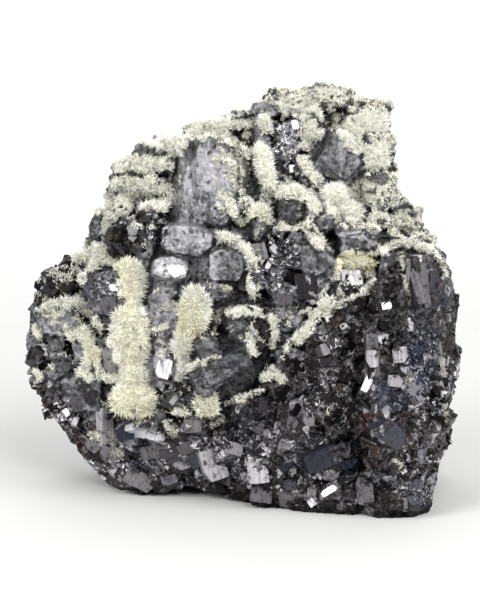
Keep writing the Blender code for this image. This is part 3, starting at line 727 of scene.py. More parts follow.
def spikes(roots, ways, lengths, widths):
    """Pointed needles of three faces each."""
    turn = unit(np.cross(ways, np.roll(ways, 1, axis=1) + 0.31))
    other = np.cross(ways, turn)
    rings = []
    for k in range(3):
        angle = math.tau * k / 3
        spoke = (math.cos(angle) * turn + math.sin(angle) * other) * (widths / 2)[:, None]
        rings.append(roots + spoke)
    rings.append(roots + ways * lengths[:, None])
    points = np.stack(rings, 1)
    sides = np.array([(0, 1, 3), (1, 2, 3), (2, 0, 3)])
    faces = sides[None] + 4 * np.arange(len(roots))[:, None, None]
    return points.reshape(-1, 3), faces.reshape(-1, 3)


def spread(points, normals, faces, spacing, rng, values=None):
    """Evenly scattered places on a surface, with their normals, and values taken from its points.
    Of the places that fall in one cell of a lattice, one is kept."""
    a, b, c = (points[faces[:, i]] for i in range(3))
    area = np.linalg.norm(np.cross(b - a, c - a), axis=1) / 2
    tries_a_cell = 2.4
    count = int(area.sum() / (spacing * MM) ** 2 * tries_a_cell)
    face = rng.choice(len(faces), count, p=area / area.sum())
    u, v = rng.random((2, count))
    flip = u + v > 1
    u, v = np.where(flip, 1 - u, u), np.where(flip, 1 - v, v)
    share = np.stack([1 - u - v, u, v], 1)
    corners = faces[face]
    place = np.einsum("nk,nkj->nj", share, points[corners])
    cell = np.floor(place / (spacing * MM)).astype(np.int64)
    _, kept = np.unique(hashed(cell, 3), return_index=True)
    place, share, corners = place[kept], share[kept], corners[kept]
    out = unit(np.einsum("nk,nkj->nj", share, normals[corners]))
    if values is None:
        return place, out
    return place, out, np.einsum("nk,nk->n", share, values[corners])


def surface_tree(points, faces):
    return BVHTree.FromPolygons([Vector(p) for p in points], faces.tolist())


def furthest_out(tree, points, outs, deepest=15):
    """How far the outermost of the eight corners of each block lies outside a surface, in
    millimetres. A corner lies inside if its block's way out leads from it through the surface
    within the depth given."""
    gaps = []
    for point, out in zip(points, np.repeat(outs, 8, 0)):
        point, out = Vector(point), Vector(out)
        normal = tree.ray_cast(point, out, deepest * MM)[1]
        inside = normal is not None and normal.dot(out) > 0
        gaps.append(0.0 if inside else tree.find_nearest(point)[3] / MM)
    return np.array(gaps).reshape(-1, 8).max(1)


def seat(tree, face, thick, proud, out=None, lean=0):
    """The middle, directions and sides of a block whose outer face shows at a place of the front
    view. It stands this far clear of most of the surface behind it, and looks this many degrees
    further to the right than that surface, unless its way out is given."""
    across, up, wide, high, turn = face
    hit, normal, _, _ = tree.ray_cast(sight_start(across, up), SIGHT, 1.0)
    if hit is None:
        raise RuntimeError(f"nothing lies behind the face at {across}, {up}")
    hit = np.array(hit)
    if out is None:
        out = unit(np.array(normal) * (0.5 + 0.1 * max(wide, high)) - np.array(SIGHT))
        out = unit(out + (math.tan(math.radians(lean)), 0, 0))
    angle = math.radians(turn)
    side = unit(np.cross((-math.sin(angle), 0, math.cos(angle)), out))
    turns = np.stack([side, np.cross(out, side), out], 1)
    levels = []
    for i, j in itertools.product((-0.35, 0, 0.35), repeat=2):
        start = hit + (turns @ (i * wide, j * high, 6.0)) * MM
        found = tree.ray_cast(Vector(start), Vector(-out), 12 * MM)[0]
        if found is not None:
            levels.append((np.array(found) - hit) @ out)
    level = np.clip(np.quantile(levels, 0.7) if levels else 0.0, -0.5 * MM, 1.2 * MM)
    return hit + out * (level + (proud - thick / 2) * MM), turns, np.array((wide, high, thick)) * MM


def sunk(place, out, turns, sides, proud):
    """Middles for blocks that stand this far out of the surface at their places."""
    reach = np.abs(np.einsum("ni,nij->nj", out, turns)) * sides / 2
    return place + out * (proud - reach.sum(1))[:, None]


# What lies where


def below_rim(points):
    """How far below the rim each point lies in the front view, in millimetres."""
    across, up = front_view(points)
    x, y = zip(*RIM)
    return np.interp(across, x, y) - up


def broken_share(points, normals):
    """1 on broken ore, and 0 on the crystals and the druse of the upper front."""
    ragged = 1.5 * cloud(points, 5, 21) + 0.8 * cloud(points, 1.6, 22)
    front = smooth(below_rim(points) + ragged, -0.5, 0.8)
    behind = smooth(points[:, 1] / MM + 3 * ragged, 8, 14)
    top = smooth(normals[:, 2], 0.3, 0.6) * smooth(points[:, 2] / MM, 50, 70)
    return np.maximum(front, behind * (1 - 0.9 * top))


def fringed(points):
    """1 along the ridges and fringes of druse, and 0 away from them."""
    ragged = 0.3 * cloud(points, 1.5, 35)
    near = [smooth(ragged - beside(points, line) / wide, -1.3, -0.7) for wide, *line in FRINGES]
    return np.max(near, axis=0) * front_half(points)


def druse_share(points, normals, broken):
    """How much of the surface is druse: faces that look the way it grew have the most."""
    fringe = fringed(points)
    share = normals @ GROWTH - 0.45 - 0.1 * front_half(points)
    share = share + spotted(points, COVER) + 1.3 * fringe - spotted(points, HOLES)
    share += 0.3 * cloud(points, 3.6, 31) + 0.3 * cloud(points, 1.4, 32)
    flecks = spotted(points, FLECKS) + 0.4 * cloud(points, 1.2, 33) - 0.35
    grown = smooth(share, -0.05, 0.12) * np.maximum(1 - broken, fringe)
    return np.maximum(grown, smooth(flecks, 0, 0.3)), fringe


def rough_share(points):
    """Which parts of the broken ore are a fine rubble of grains. The rest has larger flat faces."""
    return smooth(cloud(points, 6.5, 43) + 0.5 * cloud(points, 2.6, 44), -0.3, 0.0)


def openness(points, normals, tree, rng, rays=10, reach=9.0):
    """The share of rays from each point that get this many millimetres away."""
    ways = unit(rng.normal(size=(rays, 3)))
    out = np.zeros(len(points))
    for way in ways:
        aim = unit(way + normals * 1.1)
        start = points + normals * 0.1 * MM
        for i in range(len(points)):
            if tree.ray_cast(Vector(start[i]), Vector(aim[i]), reach * MM)[0] is None:
                out[i] += 1
    return out / rays


def large_crystals(tree, rng):
    """Flat faces for the crystals that are seen whole."""
    seats = [seat(tree, face[:5], 4.0, 0.7, lean=face[5]) for face in CRYSTALS]
    return chips(*(np.array(part) for part in zip(*seats)), rng, 0.16)


def small_crystals(solid, tree, rng):
    """Small galena cubes between the large crystals, and cleavage blocks on the broken sides."""
    points, normals, faces = read(new_mesh("solid", [solid]))
    place, _ = spread(points, normals, faces, 2.8, rng)
    # The solid has few points, so each place takes the normal of its face.
    out = np.array([tree.find_nearest(Vector(p))[1] for p in place])
    broken = broken_share(place, out) > 0.5
    kept = (rng.random(len(place)) < np.where(broken, 0.35, 0.5)) & (place[:, 2] > 3 * MM)
    kept &= (spotted(place, WHOLE) < 0.3) & (place[:, 2] < 97 * MM)
    place, out, broken = place[kept], out[kept], broken[kept]
    turns = grain_turns(grains(place, 7.5, 46)[0], out, 32)
    sizes = rng.uniform(1.4, 4.0, (len(place), 3)) * MM
    proud = rng.uniform(0.2, 1.4, len(place)) * np.where(broken, 0.5, 1.0) * MM
    middles = sunk(place, out, turns, sizes, proud)
    kept = furthest_out(tree, boxes(middles, turns, sizes)[0], out) < 1.7
    return boxes(middles[kept], turns[kept], sizes[kept])


# Materials


def chosen():
    """The specimen's settings."""
    return bpy.context.scene.specimen


def add(tree, kind, inputs=None, stops=(), **settings):
    """Adds a node with its settings and its inputs' values or links, and gives its outputs."""
    node = tree.nodes.new("ShaderNode" + kind)
    for name, value in settings.items():
        setattr(node, name, value)
    for key, value in (inputs or {}).items():
        if isinstance(value, bpy.types.NodeSocket):
            tree.links.new(value, node.inputs[key])
        else:
            node.inputs[key].default_value = linear(value) if isinstance(value, str) else value
    for number, (place, code) in enumerate(stops):
        elements = node.color_ramp.elements
        element = elements[number] if number < len(elements) else elements.new(place)
        element.position = place
        element.color = linear(code)
    return node.outputs


def new_material(name):
    """A material, its node tree, its shader, and the coordinates that its patterns use."""
    material = bpy.data.materials.new(name)
    material.use_nodes = True
    tree = material.node_tree
    return material, tree, tree.nodes["Principled BSDF"], add(tree, "TexCoord")["Object"]


def per_mm(size):
    """The scale of a texture whose pattern repeats about every so many millimetres."""
    return 1 / (size * MM)


def faceted_normal(tree, cells, strength):
    """The surface's normal, leaning another way in each small cell, as the grains of a break do."""
    lean = add(tree, "VectorMath", {0: cells, 1: (0.5, 0.5, 0.5)}, operation="SUBTRACT")[0]
    lean = add(tree, "VectorMath", {0: lean, "Scale": strength}, operation="SCALE")[0]
    normal = add(tree, "NewGeometry")["Normal"]
    lean = add(tree, "VectorMath", {0: normal, 1: lean}, operation="ADD")[0]
    return add(tree, "VectorMath", {0: lean}, operation="NORMALIZE")[0]


def ore_material():
    """Galena that grew as cubes and broke along its cleavage, with sphalerite between its grains.
    Growth faces are matt, etched and pitted. The break is a mosaic of grey and black grains of 1
    to 3 mm, some of which mirror a lamp, with blue tarnish and a little rust. Where it sparkles,
    glints are painted on. Deep gaps and the lowest part are painted near black as shade, and some
    faces are painted paler or darker by how light falls on them."""
    s = chosen()
    material, tree, shader, where = new_material("galena, grown and broken")
    mark = {name: add(tree, "Attribute", attribute_name=name)["Fac"] for name in ORE_MARKS}
    mottle, fine, dark = (
        add(tree, "TexNoise", {
            "Vector": where, "Scale": per_mm(size), "Detail": detail, "Roughness": rough})[0]
        for size, detail, rough in ((1.6, 8.0, 0.75), (0.9, 5.0, 0.7), (6.0, 4.0, 0.6)))
    # Paler and darker faces: partly their own colour, partly painted light and shade.
    paler = add(tree, "Math", {0: mark["tone_and_painted_light"], 1: 0.0}, operation="MAXIMUM")[0]

    # Growth faces: mottled grey with small dark pits.
    shift = add(tree, "Math", {0: paler, 1: 0.42, 2: mottle}, operation="MULTIPLY_ADD")[0]
    grown = add(tree, "ValToRGB", {0: shift}, stops=(
        (0.32, "#19191a"), (0.45, "#49494c"), (0.56, "#707073"), (0.7, "#929195"),
        (0.9, "#bab9bd")))[0]
    bent = add(tree, "TexNoise", {"Vector": where, "Scale": per_mm(1.2), "Detail": 5.0})["Color"]
    bent = add(tree, "VectorMath", {
        0: bent, 1: (1.2 * MM,) * 3, 2: where}, operation="MULTIPLY_ADD")[0]
    pits = add(tree, "TexVoronoi", {"Vector": bent, "Scale": per_mm(1.5)})
    size = add(tree, "SeparateColor", {0: pits["Color"]})[0]
    pits = add(tree, "Math", {
        0: size, 1: -0.44, 2: pits["Distance"]}, operation="MULTIPLY_ADD")[0]
    pits = add(tree, "MapRange", {0: pits, 1: -0.12, 2: 0.08, 3: 0.75, 4: 0.0})[0]
    pitted = add(tree, "MapRange", {0: mottle, 1: 0.4, 2: 0.48})[0]
    pitted = add(tree, "Math", {0: pits, 1: pitted}, operation="MULTIPLY")[0]
    grown = add(tree, "Mix", {0: pitted, 6: grown, 7: "#18181a"}, data_type="RGBA")[2]

    # The break: grey grains, and dark sphalerite between and over them.
    grain = add(tree, "TexVoronoi", {"Vector": bent, "Scale": per_mm(3.0)})["Color"]
    grain = add(tree, "SeparateColor", {0: grain})
    shift = add(tree, "Math", {0: paler, 1: 0.5, 2: grain[0]}, operation="MULTIPLY_ADD")[0]
    metal = add(tree, "ValToRGB", {0: shift}, stops=(
        (0.0, "#0b0a0a"), (0.42, "#343336"), (0.74, "#817e82"), (1.0, "#d3d0d4")))[0]
    for part, much in ((grain[1], 0.25), (fine, 0.35), (mark["rubble"], 0.12)):
        dark = add(tree, "Math", {0: part, 1: much, 2: dark}, operation="MULTIPLY_ADD")[0]
    dark = add(tree, "MapRange", {0: dark, 1: 0.76, 2: 0.83})[0]
    brown = add(tree, "ValToRGB", {0: fine}, stops=(
        (0.3, "#080606"), (0.55, "#191310"), (0.75, "#3d2f26")))[0]
    cracked = add(tree, "Mix", {0: dark, 6: metal, 7: brown}, data_type="RGBA")[2]

    # Darker faces, partly their own colour and partly painted shade, and the patches that tarnish
    # and rust lie in.
    darker = add(tree, "Math", {0: mark["tone_and_painted_light"], 1: -0.85}, operation="MULTIPLY", use_clamp=True)[0]
    blue = add(tree, "MapRange", {0: fine, 1: 0.35, 2: 0.6, 3: 1.0, 4: 0.4})[0]
    red = add(tree, "MapRange", {0: fine, 1: 0.42, 2: 0.56, 4: 0.9})[0]

    # Painted glints: where it sparkles, thin bent strands and a few small splinters are painted
    # bright and the rest dark.
    cells = add(tree, "TexVoronoi", {
        "Vector": bent, "Scale": per_mm(0.7)}, distance="CHEBYCHEV")["Color"]
    cell = add(tree, "SeparateColor", {0: cells})
    strands = add(tree, "TexNoise", {
        "Vector": where, "Scale": per_mm(1.7), "Detail": 3.0, "Distortion": 0.5})[0]
    strands = add(tree, "Math", {0: strands, 1: 0.5}, operation="SUBTRACT")[0]
    strands = add(tree, "Math", {0: strands}, operation="ABSOLUTE")[0]
    strands = add(tree, "MapRange", {0: strands, 1: 0.008, 2: 0.035, 3: 1.0, 4: 0.0})[0]
    patches = add(tree, "MapRange", {0: cell[2], 1: 0.3, 2: 0.5})[0]
    strands = add(tree, "Math", {0: strands, 1: patches}, operation="MULTIPLY")[0]
    bright = add(tree, "MapRange", {0: cell[0], 1: 0.86, 2: 0.92})[0]
    bright = add(tree, "Math", {0: bright, 1: strands}, operation="MAXIMUM")[0]
    glint = add(tree, "ValToRGB", {0: cell[1]}, stops=((0.0, "#dddce2"), (1.0, "#85848b")))[0]

    # A thin skin of druse under the needles.
    shift = add(tree, "Math", {0: mark["fur"], 1: 0.12, 2: fine}, operation="MULTIPLY_ADD")[0]
    skin = add(tree, "ValToRGB", {0: shift}, stops=(
        (0.36, "#37352c"), (0.5, "#8c8977"), (0.64, "#d8d6c8")))[0]
    thin = add(tree, "MapRange", {0: fine, 1: 0.34, 2: 0.46})[0]

    # Each of these lies only where its mark is. Each colour covers those before it by its share.
    blue, red, dim, bright, thin, gap = (
        add(tree, "Math", {0: mark[name], 1: much}, operation="MULTIPLY")[0]
        for name, much in (
            ("tarnish", blue), ("rust", red), ("sparkle", 0.3), ("sparkle", bright),
            ("crust", thin), ("painted_shade", 0.96)))
    # The last colour, near black in deep gaps and on the lowest part of the ore, is painted shade.
    colours = grown
    for share, colour in (
        (mark["broken"], cracked), (darker, "#0d0c0c"), (blue, (*s.tarnish, 1.0)),
        (red, (*s.rust, 1.0)), (mark["vein"], "#a9a596"), (dim, "#141213"), (bright, glint),
        (thin, skin), (gap, "#060505"),
    ):
        colours = add(tree, "Mix", {0: share, 6: colours, 7: colour}, data_type="RGBA")[2]
    tree.links.new(colours, shader.inputs["Base Color"])

    stony = add(tree, "Math", {0: dark, 1: mark["broken"]}, operation="MULTIPLY")[0]
    for other in (thin, red):
        stony = add(tree, "Math", {0: stony, 1: other}, operation="MAXIMUM")[0]
    # Painted shade: a deep gap, and the lowest part of the ore, take the metal's black, which
    # mirrors nothing.
    metallic = add(tree, "MapRange", {0: stony, 3: 0.88, 4: 0.4})[0]
    metallic = add(tree, "Math", {0: metallic, 1: gap}, operation="MAXIMUM")[0]
    tree.links.new(metallic, shader.inputs["Metallic"])
    matt = add(tree, "MapRange", {0: mottle, 1: 0.3, 2: 0.7, 3: 0.52, 4: 0.36})[0]
    bare = add(tree, "MapRange", {0: fine, 1: 0.3, 2: 0.7, 3: 0.2, 4: 0.45})[0]
    rough = add(tree, "Mix", {0: mark["broken"], 2: matt, 3: bare})[0]
    rough = add(tree, "Mix", {0: mark["sparkle"], 2: rough, 3: 0.2})[0]
    tree.links.new(rough, shader.inputs["Roughness"])
    lean = add(tree, "Math", {0: mark["rubble"], 1: mark["broken"]}, operation="MULTIPLY")[0]
    lean = add(tree, "Math", {0: lean, 1: 0.3, 2: 0.14}, operation="MULTIPLY_ADD")[0]
    lean = add(tree, "Math", {0: mark["sparkle"], 1: 0.8, 2: lean}, operation="MULTIPLY_ADD")[0]
    normal = faceted_normal(tree, cells, lean)
    height = add(tree, "Math", {0: pitted, 1: -1.2, 2: fine}, operation="MULTIPLY_ADD")[0]
    height = add(tree, "Math", {0: mottle, 1: 1.5, 2: height}, operation="MULTIPLY_ADD")[0]
    bump = add(tree, "Bump", {
        "Strength": 0.75, "Distance": 0.4 * MM, "Height": height, "Normal": normal})[0]
    tree.links.new(bump, shader.inputs["Normal"])
    return material


def cleavage_material():
    """Fresh galena cleavage, broken and not polished: flat faces that are nearly mirrors, each
    painted as bright as the way it broke would make it look, a painted reflection over its own
    colour, with fine parallel steps and a few dark specks."""
    material, tree, shader, where = new_material("galena, fresh cleavage")
    tint_and_painted_reflection, blue, seam, mirrors = (
        add(tree, "Attribute", attribute_name=name)["Fac"]
        for name in ("tint_and_painted_reflection", "tarnish", "seam", "mirrors"))
    colours = add(tree, "ValToRGB", {0: tint_and_painted_reflection}, stops=(
        (0.0, "#0c0a0a"), (0.3, "#2b292b"), (0.55, "#5e5b5e"), (0.8, "#939093"),
        (1.0, "#c8c5c9")))[0]
    colours = add(tree, "Mix", {0: blue, 6: colours, 7: "#2b3346"}, data_type="RGBA")[2]
    # The stripes of the fine steps are painted light and shade as well as bumps.
    lines = add(tree, "TexNoise", {
        "W": seam, "Scale": per_mm(0.8), "Detail": 3.0}, noise_dimensions="1D")[0]
    shade = add(tree, "MapRange", {0: lines, 1: 0.35, 2: 0.65, 3: 0.78, 4: 1.15})[0]
    colours = add(tree, "VectorMath", {0: colours, "Scale": shade}, operation="SCALE")[0]
    specks = add(tree, "TexNoise", {
        "Vector": where, "Scale": per_mm(1.4), "Detail": 6.0, "Roughness": 0.72})[0]
    specked = add(tree, "MapRange", {0: specks, 1: 0.53, 2: 0.62, 4: 0.8})[0]
    clean = add(tree, "MapRange", {0: mirrors, 3: 1.0, 4: 0.35})[0]
    specked = add(tree, "Math", {0: specked, 1: clean}, operation="MULTIPLY")[0]
    colours = add(tree, "Mix", {0: specked, 6: colours, 7: "#1d1a19"}, data_type="RGBA")[2]
    tree.links.new(colours, shader.inputs["Base Color"])
    shader.inputs["Metallic"].default_value = 0.9
    rough = add(tree, "MapRange", {0: mirrors, 3: 0.5, 4: 0.36})[0]
    rough = add(tree, "Math", {0: specks, 1: 0.2, 2: rough}, operation="MULTIPLY_ADD")[0]
    tree.links.new(rough, shader.inputs["Roughness"])
    waves = add(tree, "TexNoise", {"Vector": where, "Scale": per_mm(2.0), "Detail": 2.0})["Color"]
    lean = add(tree, "MapRange", {0: mirrors, 3: 0.3, 4: 1.0})[0]
    normal = faceted_normal(tree, waves, lean)
    height = add(tree, "Math", {0: specks, 1: lines}, operation="ADD")[0]
    bump = add(tree, "Bump", {
        "Strength": 0.6, "Distance": 0.2 * MM, "Height": height, "Normal": normal})[0]
    tree.links.new(bump, shader.inputs["Normal"])
    return material


def sphalerite_material():
    """Dark sphalerite crystals: black, brown where thin, with the resinous gloss of faces that
    grew smooth."""
    material, tree, shader, where = new_material("sphalerite, resinous")
    spots = add(tree, "TexNoise", {
        "Vector": where, "Scale": per_mm(2.2), "Detail": 3.0, "Roughness": 0.55})[0]
    colours = add(tree, "ValToRGB", {0: spots}, stops=(
        (0.42, "#040303"), (0.58, "#0c0906"), (0.72, "#2e240e")))[0]
    tree.links.new(colours, shader.inputs["Base Color"])
    # Its true IOR of 2.37 mirrors the bright studio more than the real crystals do.
    shader.inputs["IOR"].default_value = 1.5
    rough = add(tree, "MapRange", {0: spots, 1: 0.3, 2: 0.7, 3: 0.16, 4: 0.34})[0]
    tree.links.new(rough, shader.inputs["Roughness"])
    cells = add(tree, "TexVoronoi", {"Vector": where, "Scale": per_mm(1.6)})["Color"]
    tree.links.new(faceted_normal(tree, cells, 0.08), shader.inputs["Normal"])
    return material


def druse_material():
    """Druse of tiny clear-to-milky needles: near white at their tips, a little yellower in places,
    with painted shade towards their roots and between them, and each needle a little unlike the
    next. The real ones are finer than the render shows, so they are drawn thicker."""
    s = chosen()
    material, tree, shader, _ = new_material("druse, milky needles")
    along, yellow = (
        add(tree, "Attribute", attribute_name=name)["Fac"] for name in ("along", "yellow"))
    each = add(tree, "NewGeometry")["Random Per Island"]
    tips = add(tree, "Mix", {
        0: yellow, 6: (*s.druse_tip, 1.0), 7: (*s.druse_yellow, 1.0)}, data_type="RGBA")[2]
    # Painted shade: each needle is darker towards its root, and near black where the core lies deep
    # in a gap.
    lit = add(tree, "MapRange", {0: along, 1: 0.25, 2: 0.9})[0]
    colours = add(tree, "Mix", {0: lit, 6: (*s.druse_root, 1.0), 7: tips}, data_type="RGBA")[2]
    deep = add(tree, "MapRange", {0: along, 2: 0.25})[0]
    colours = add(tree, "Mix", {0: deep, 6: "#1b1913", 7: colours}, data_type="RGBA")[2]
    shade = add(tree, "MapRange", {0: each, 2: 0.7, 3: 0.56})[0]
    colours = add(tree, "VectorMath", {0: colours, "Scale": shade}, operation="SCALE")[0]
    tree.links.new(colours, shader.inputs["Base Color"])
    shader.inputs["IOR"].default_value = 1.5
    rough = add(tree, "MapRange", {0: each, 3: 0.35, 4: 0.6})[0]
    tree.links.new(rough, shader.inputs["Roughness"])
    return material


# Settings and operators

# What tells Blender that a setting is a length or a colour.
LENGTH = {"subtype": "DISTANCE", "unit": "LENGTH"}
COLOUR = {"subtype": "COLOR", "min": 0.0, "max": 1.0}


class SpecimenSettings(bpy.types.PropertyGroup):
    """Sizes and colours that change how the specimen looks."""

    voxel: bpy.props.FloatProperty(
        name="Ore detail", description="Size of the smallest step on the ore",
        default=0.4 * MM, min=0.2 * MM, **LENGTH)
    step: bpy.props.FloatProperty(
        name="Cleavage step", description="Height of the steps of the broken ore",
        default=0.9 * MM, **LENGTH)
    needle_length: bpy.props.FloatProperty(
        name="Needle length", description="Length of a druse needle", default=1.45 * MM, **LENGTH)
    needle_width: bpy.props.FloatProperty(
        name="Needle width", description="Width of a druse needle at its root",
        default=0.29 * MM, **LENGTH)
    needle_spacing: bpy.props.FloatProperty(
        name="Needle spacing", description="Distance from one druse needle to the next",
        default=0.35 * MM, **LENGTH)
    druse_tip: bpy.props.FloatVectorProperty(
        name="Druse tips", description="Colour of the needles at their tips",
        default=linear("#f2f1e8")[:3], **COLOUR)
    druse_yellow: bpy.props.FloatVectorProperty(
        name="Yellow druse tips", description="Colour of the tips where the druse is yellower",
        default=linear("#f4eec0")[:3], **COLOUR)
    # The roots are darker than the tips, as painted shade among the needles.
    druse_root: bpy.props.FloatVectorProperty(
        name="Druse roots", description="Colour of the needles at their roots",
        default=linear("#cecdbf")[:3], **COLOUR)
    tarnish: bpy.props.FloatVectorProperty(
        name="Tarnish", description="Colour of the tarnish on the ore",
        default=linear("#20273a")[:3], **COLOUR)
    rust: bpy.props.FloatVectorProperty(
        name="Rust", description="Colour of the rust on the ore",
        default=linear("#4c2c1c")[:3], **COLOUR)
    seed: bpy.props.IntProperty(
        name="Seed", description="Another number scatters the small pieces another way", default=7)


def ore_surface():
    """The made ore: its mesh, points, normals and faces."""
    obj = bpy.data.objects.get("ore_and_crystals")
    if obj is None:
        raise RuntimeError("make the ore and crystals first")
    return obj.data, *read(obj.data)


def shared_material(name, make):
    """The material of this name, made if there is none yet."""
    return bpy.data.materials.get(name) or make()


class SPECIMEN_OT_ore(bpy.types.Operator):
    """Makes the broken ore and the galena crystals that have grown on it"""

    bl_idname = "specimen.ore"
    bl_label = "Ore and crystals"

    def execute(self, context):
        rng = np.random.default_rng(chosen().seed)
        mesh = self.shaped(rng)
        self.mark(mesh, rng)
        mesh.polygons.foreach_set("use_smooth", np.ones(len(mesh.polygons), bool))
        mesh.set_sharp_from_angle(angle=SHARP)
        new_object("ore_and_crystals", mesh, ore_material(), "galena", "galena_mass")
        return {"FINISHED"}

    def shaped(self, rng):
        """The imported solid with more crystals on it, broken into steps and made uneven."""
        s = chosen()
        solid = solid_of("galena_mass")
        tree = surface_tree(*solid)
        chunks = [solid, small_crystals(solid, tree, rng), large_crystals(tree, rng)]
        rough = through(new_mesh("ore", chunks), "REMESH", mode="VOXEL", voxel_size=s.voxel)
        points, normals, faces = read(rough)
        broken = broken_share(points, normals)
        grown = 1 - broken
        whole = np.clip(spotted(points, WHOLE), 0, 1)
        # Etched corners on the grown crystals, and jumbled steps between the large ones.
        points = relaxed(points, faces, grown, 1)
        jumbled = grown * (1 - whole) * smooth(cloud(points, 6, 47), -0.4, 0.1)
        points = terraced(points, normals, 0.7 * jumbled, 3.4, 1.0, 38, 45)
        # Coarse cleavage steps on the sides and the back, finer ones where the ore is rubble.
        side = smooth(points[:, 1] / MM, -16, 0)
        points = terraced(points, normals, broken * (0.3 + 0.5 * side), 8.5, 1.8, 22, 41)
        points = terraced(points, normals, broken * rough_share(points), 3.2, s.step / MM, 30, 42)
        sparkle = np.clip(spotted(points, SPARKLE), 0, 1)
        points = terraced(points, normals, sparkle * grown, 2.4, 0.9, 45, 48)
        # Grown faces are uneven and pitted, druse thickens them, and the crack cuts into the ore.
        crust, fringe = druse_share(points, normals, broken)
        lumps = 0.22 * cloud(points, 3.4, 51) + 0.2 * cloud(points, 1.3, 52)
        lumps += 0.12 * cloud(points, 0.8, 54)
        lumps -= 0.45 * smooth(cloud(points, 1.9, 56) + 0.4 * cloud(points, 0.9, 57), 0.35, 0.6)
        lumps *= 1 - 0.45 * whole
        uneven = lumps * grown + crust * (0.4 * cloud(points, 1.2, 53) + 0.35) + 0.5 * fringe
        crack = beside(points, CRACK) + 1.6 * cloud(points, 3.2, 62)
        uneven -= 1.2 * smooth(-crack, -1.4, -0.2) * front_half(points)
        points += normals * (uneven * MM)[:, None]
        # Nothing reaches below the floor.
        points[:, 2] = np.maximum(points[:, 2], 0)
        mesh = new_mesh("ore", [(points, faces)])
        if len(faces) > MOST_TRIANGLES:
            mesh = through(mesh, "DECIMATE", ratio=MOST_TRIANGLES / len(faces))
        return mesh

    def mark(self, mesh, rng):
        """Writes on the mesh what its material reads."""
        points, normals, faces = read(mesh)
        broken = broken_share(points, normals)
        whole = np.clip(spotted(points, WHOLE), 0, 1)
        tree = surface_tree(points, faces)
        # Each block is also paler or darker at random, by its own colour.
        number, _ = grains(points, 4.5, 63)
        tones = 0.2 * cloud(points, 9, 55) + (0.5 * chance(number, 12) - 0.2) * (1 - 0.5 * broken)
        vein = np.max([smooth(-beside(points, line), -0.75, -0.3) for line in VEINS], axis=0)
        # Painted shade: the more a point is closed in by the ore around it, the darker it is
        # painted.
        painted_shade = 1 - smooth(openness(points, normals, tree, rng), 0.38, 1.0)
        crust, fringe = druse_share(points, normals, broken)
        blue = 0.8 * spotted(points, TARNISH) + 0.35 * broken * cloud(points, 11, 58)
        # Painted shade, too, on the lowest part of the ore, near the floor.
        painted_floor_shade = smooth(-points[:, 2] / MM, -6, -0.5)
        marks = {
            "broken": broken,
            "rubble": rough_share(points),
            "crust": crust,
            # Painted light and shade among the paler and darker faces, and painted shade where the
            # ore shows in holes in the druse.
            "tone_and_painted_light": np.clip(spotted(points, TONE_AND_PAINTED_LIGHT) - spotted(points, HOLES) + tones, -1, 1),
            "sparkle": np.clip(spotted(points, SPARKLE) + 0.12 * broken, 0, 1),
            "tarnish": np.clip(blue, 0, 0.8),
            "rust": np.clip(spotted(points, RUST) + broken * (cloud(points, 8, 59) - 0.35), 0, 1),
            "vein": vein * front_half(points) * smooth(cloud(points, 1.0, 60), -0.6, -0.2),
            "painted_shade": np.maximum(painted_shade * (1 - 0.75 * whole), 0.8 * painted_floor_shade),
            "fur": fringe,
        }
        for name in ORE_MARKS:
            write_attribute(mesh, name, marks[name])


def new_cleavage(name, middles, turns, sides, marks, rng):
    """A piece of cleavage chips. Its marks are how pale each chip is painted, partly its own colour
    and partly a painted reflection, the tarnish and the gloss of each chip.
    """
    points, faces = chips(middles, turns, sides, rng)
    points[:, 2] = np.maximum(points[:, 2], 0)
    mesh = new_mesh(name, [(points, faces)])
    for mark, values in zip(("tint_and_painted_reflection", "tarnish", "mirrors"), marks):
        write_attribute(mesh, mark, np.repeat(np.clip(values, 0, 1), 16))
    # How far along its first side each corner lies, for the fine steps.
    seam = np.einsum("nki,ni->nk", points.reshape(-1, 16, 3) - middles[:, None], turns[:, :, 0])
    write_attribute(mesh, "seam", (seam + rng.random((len(middles), 1))).ravel())
    new_object(name, mesh, shared_material("galena, fresh cleavage", cleavage_material), "galena")


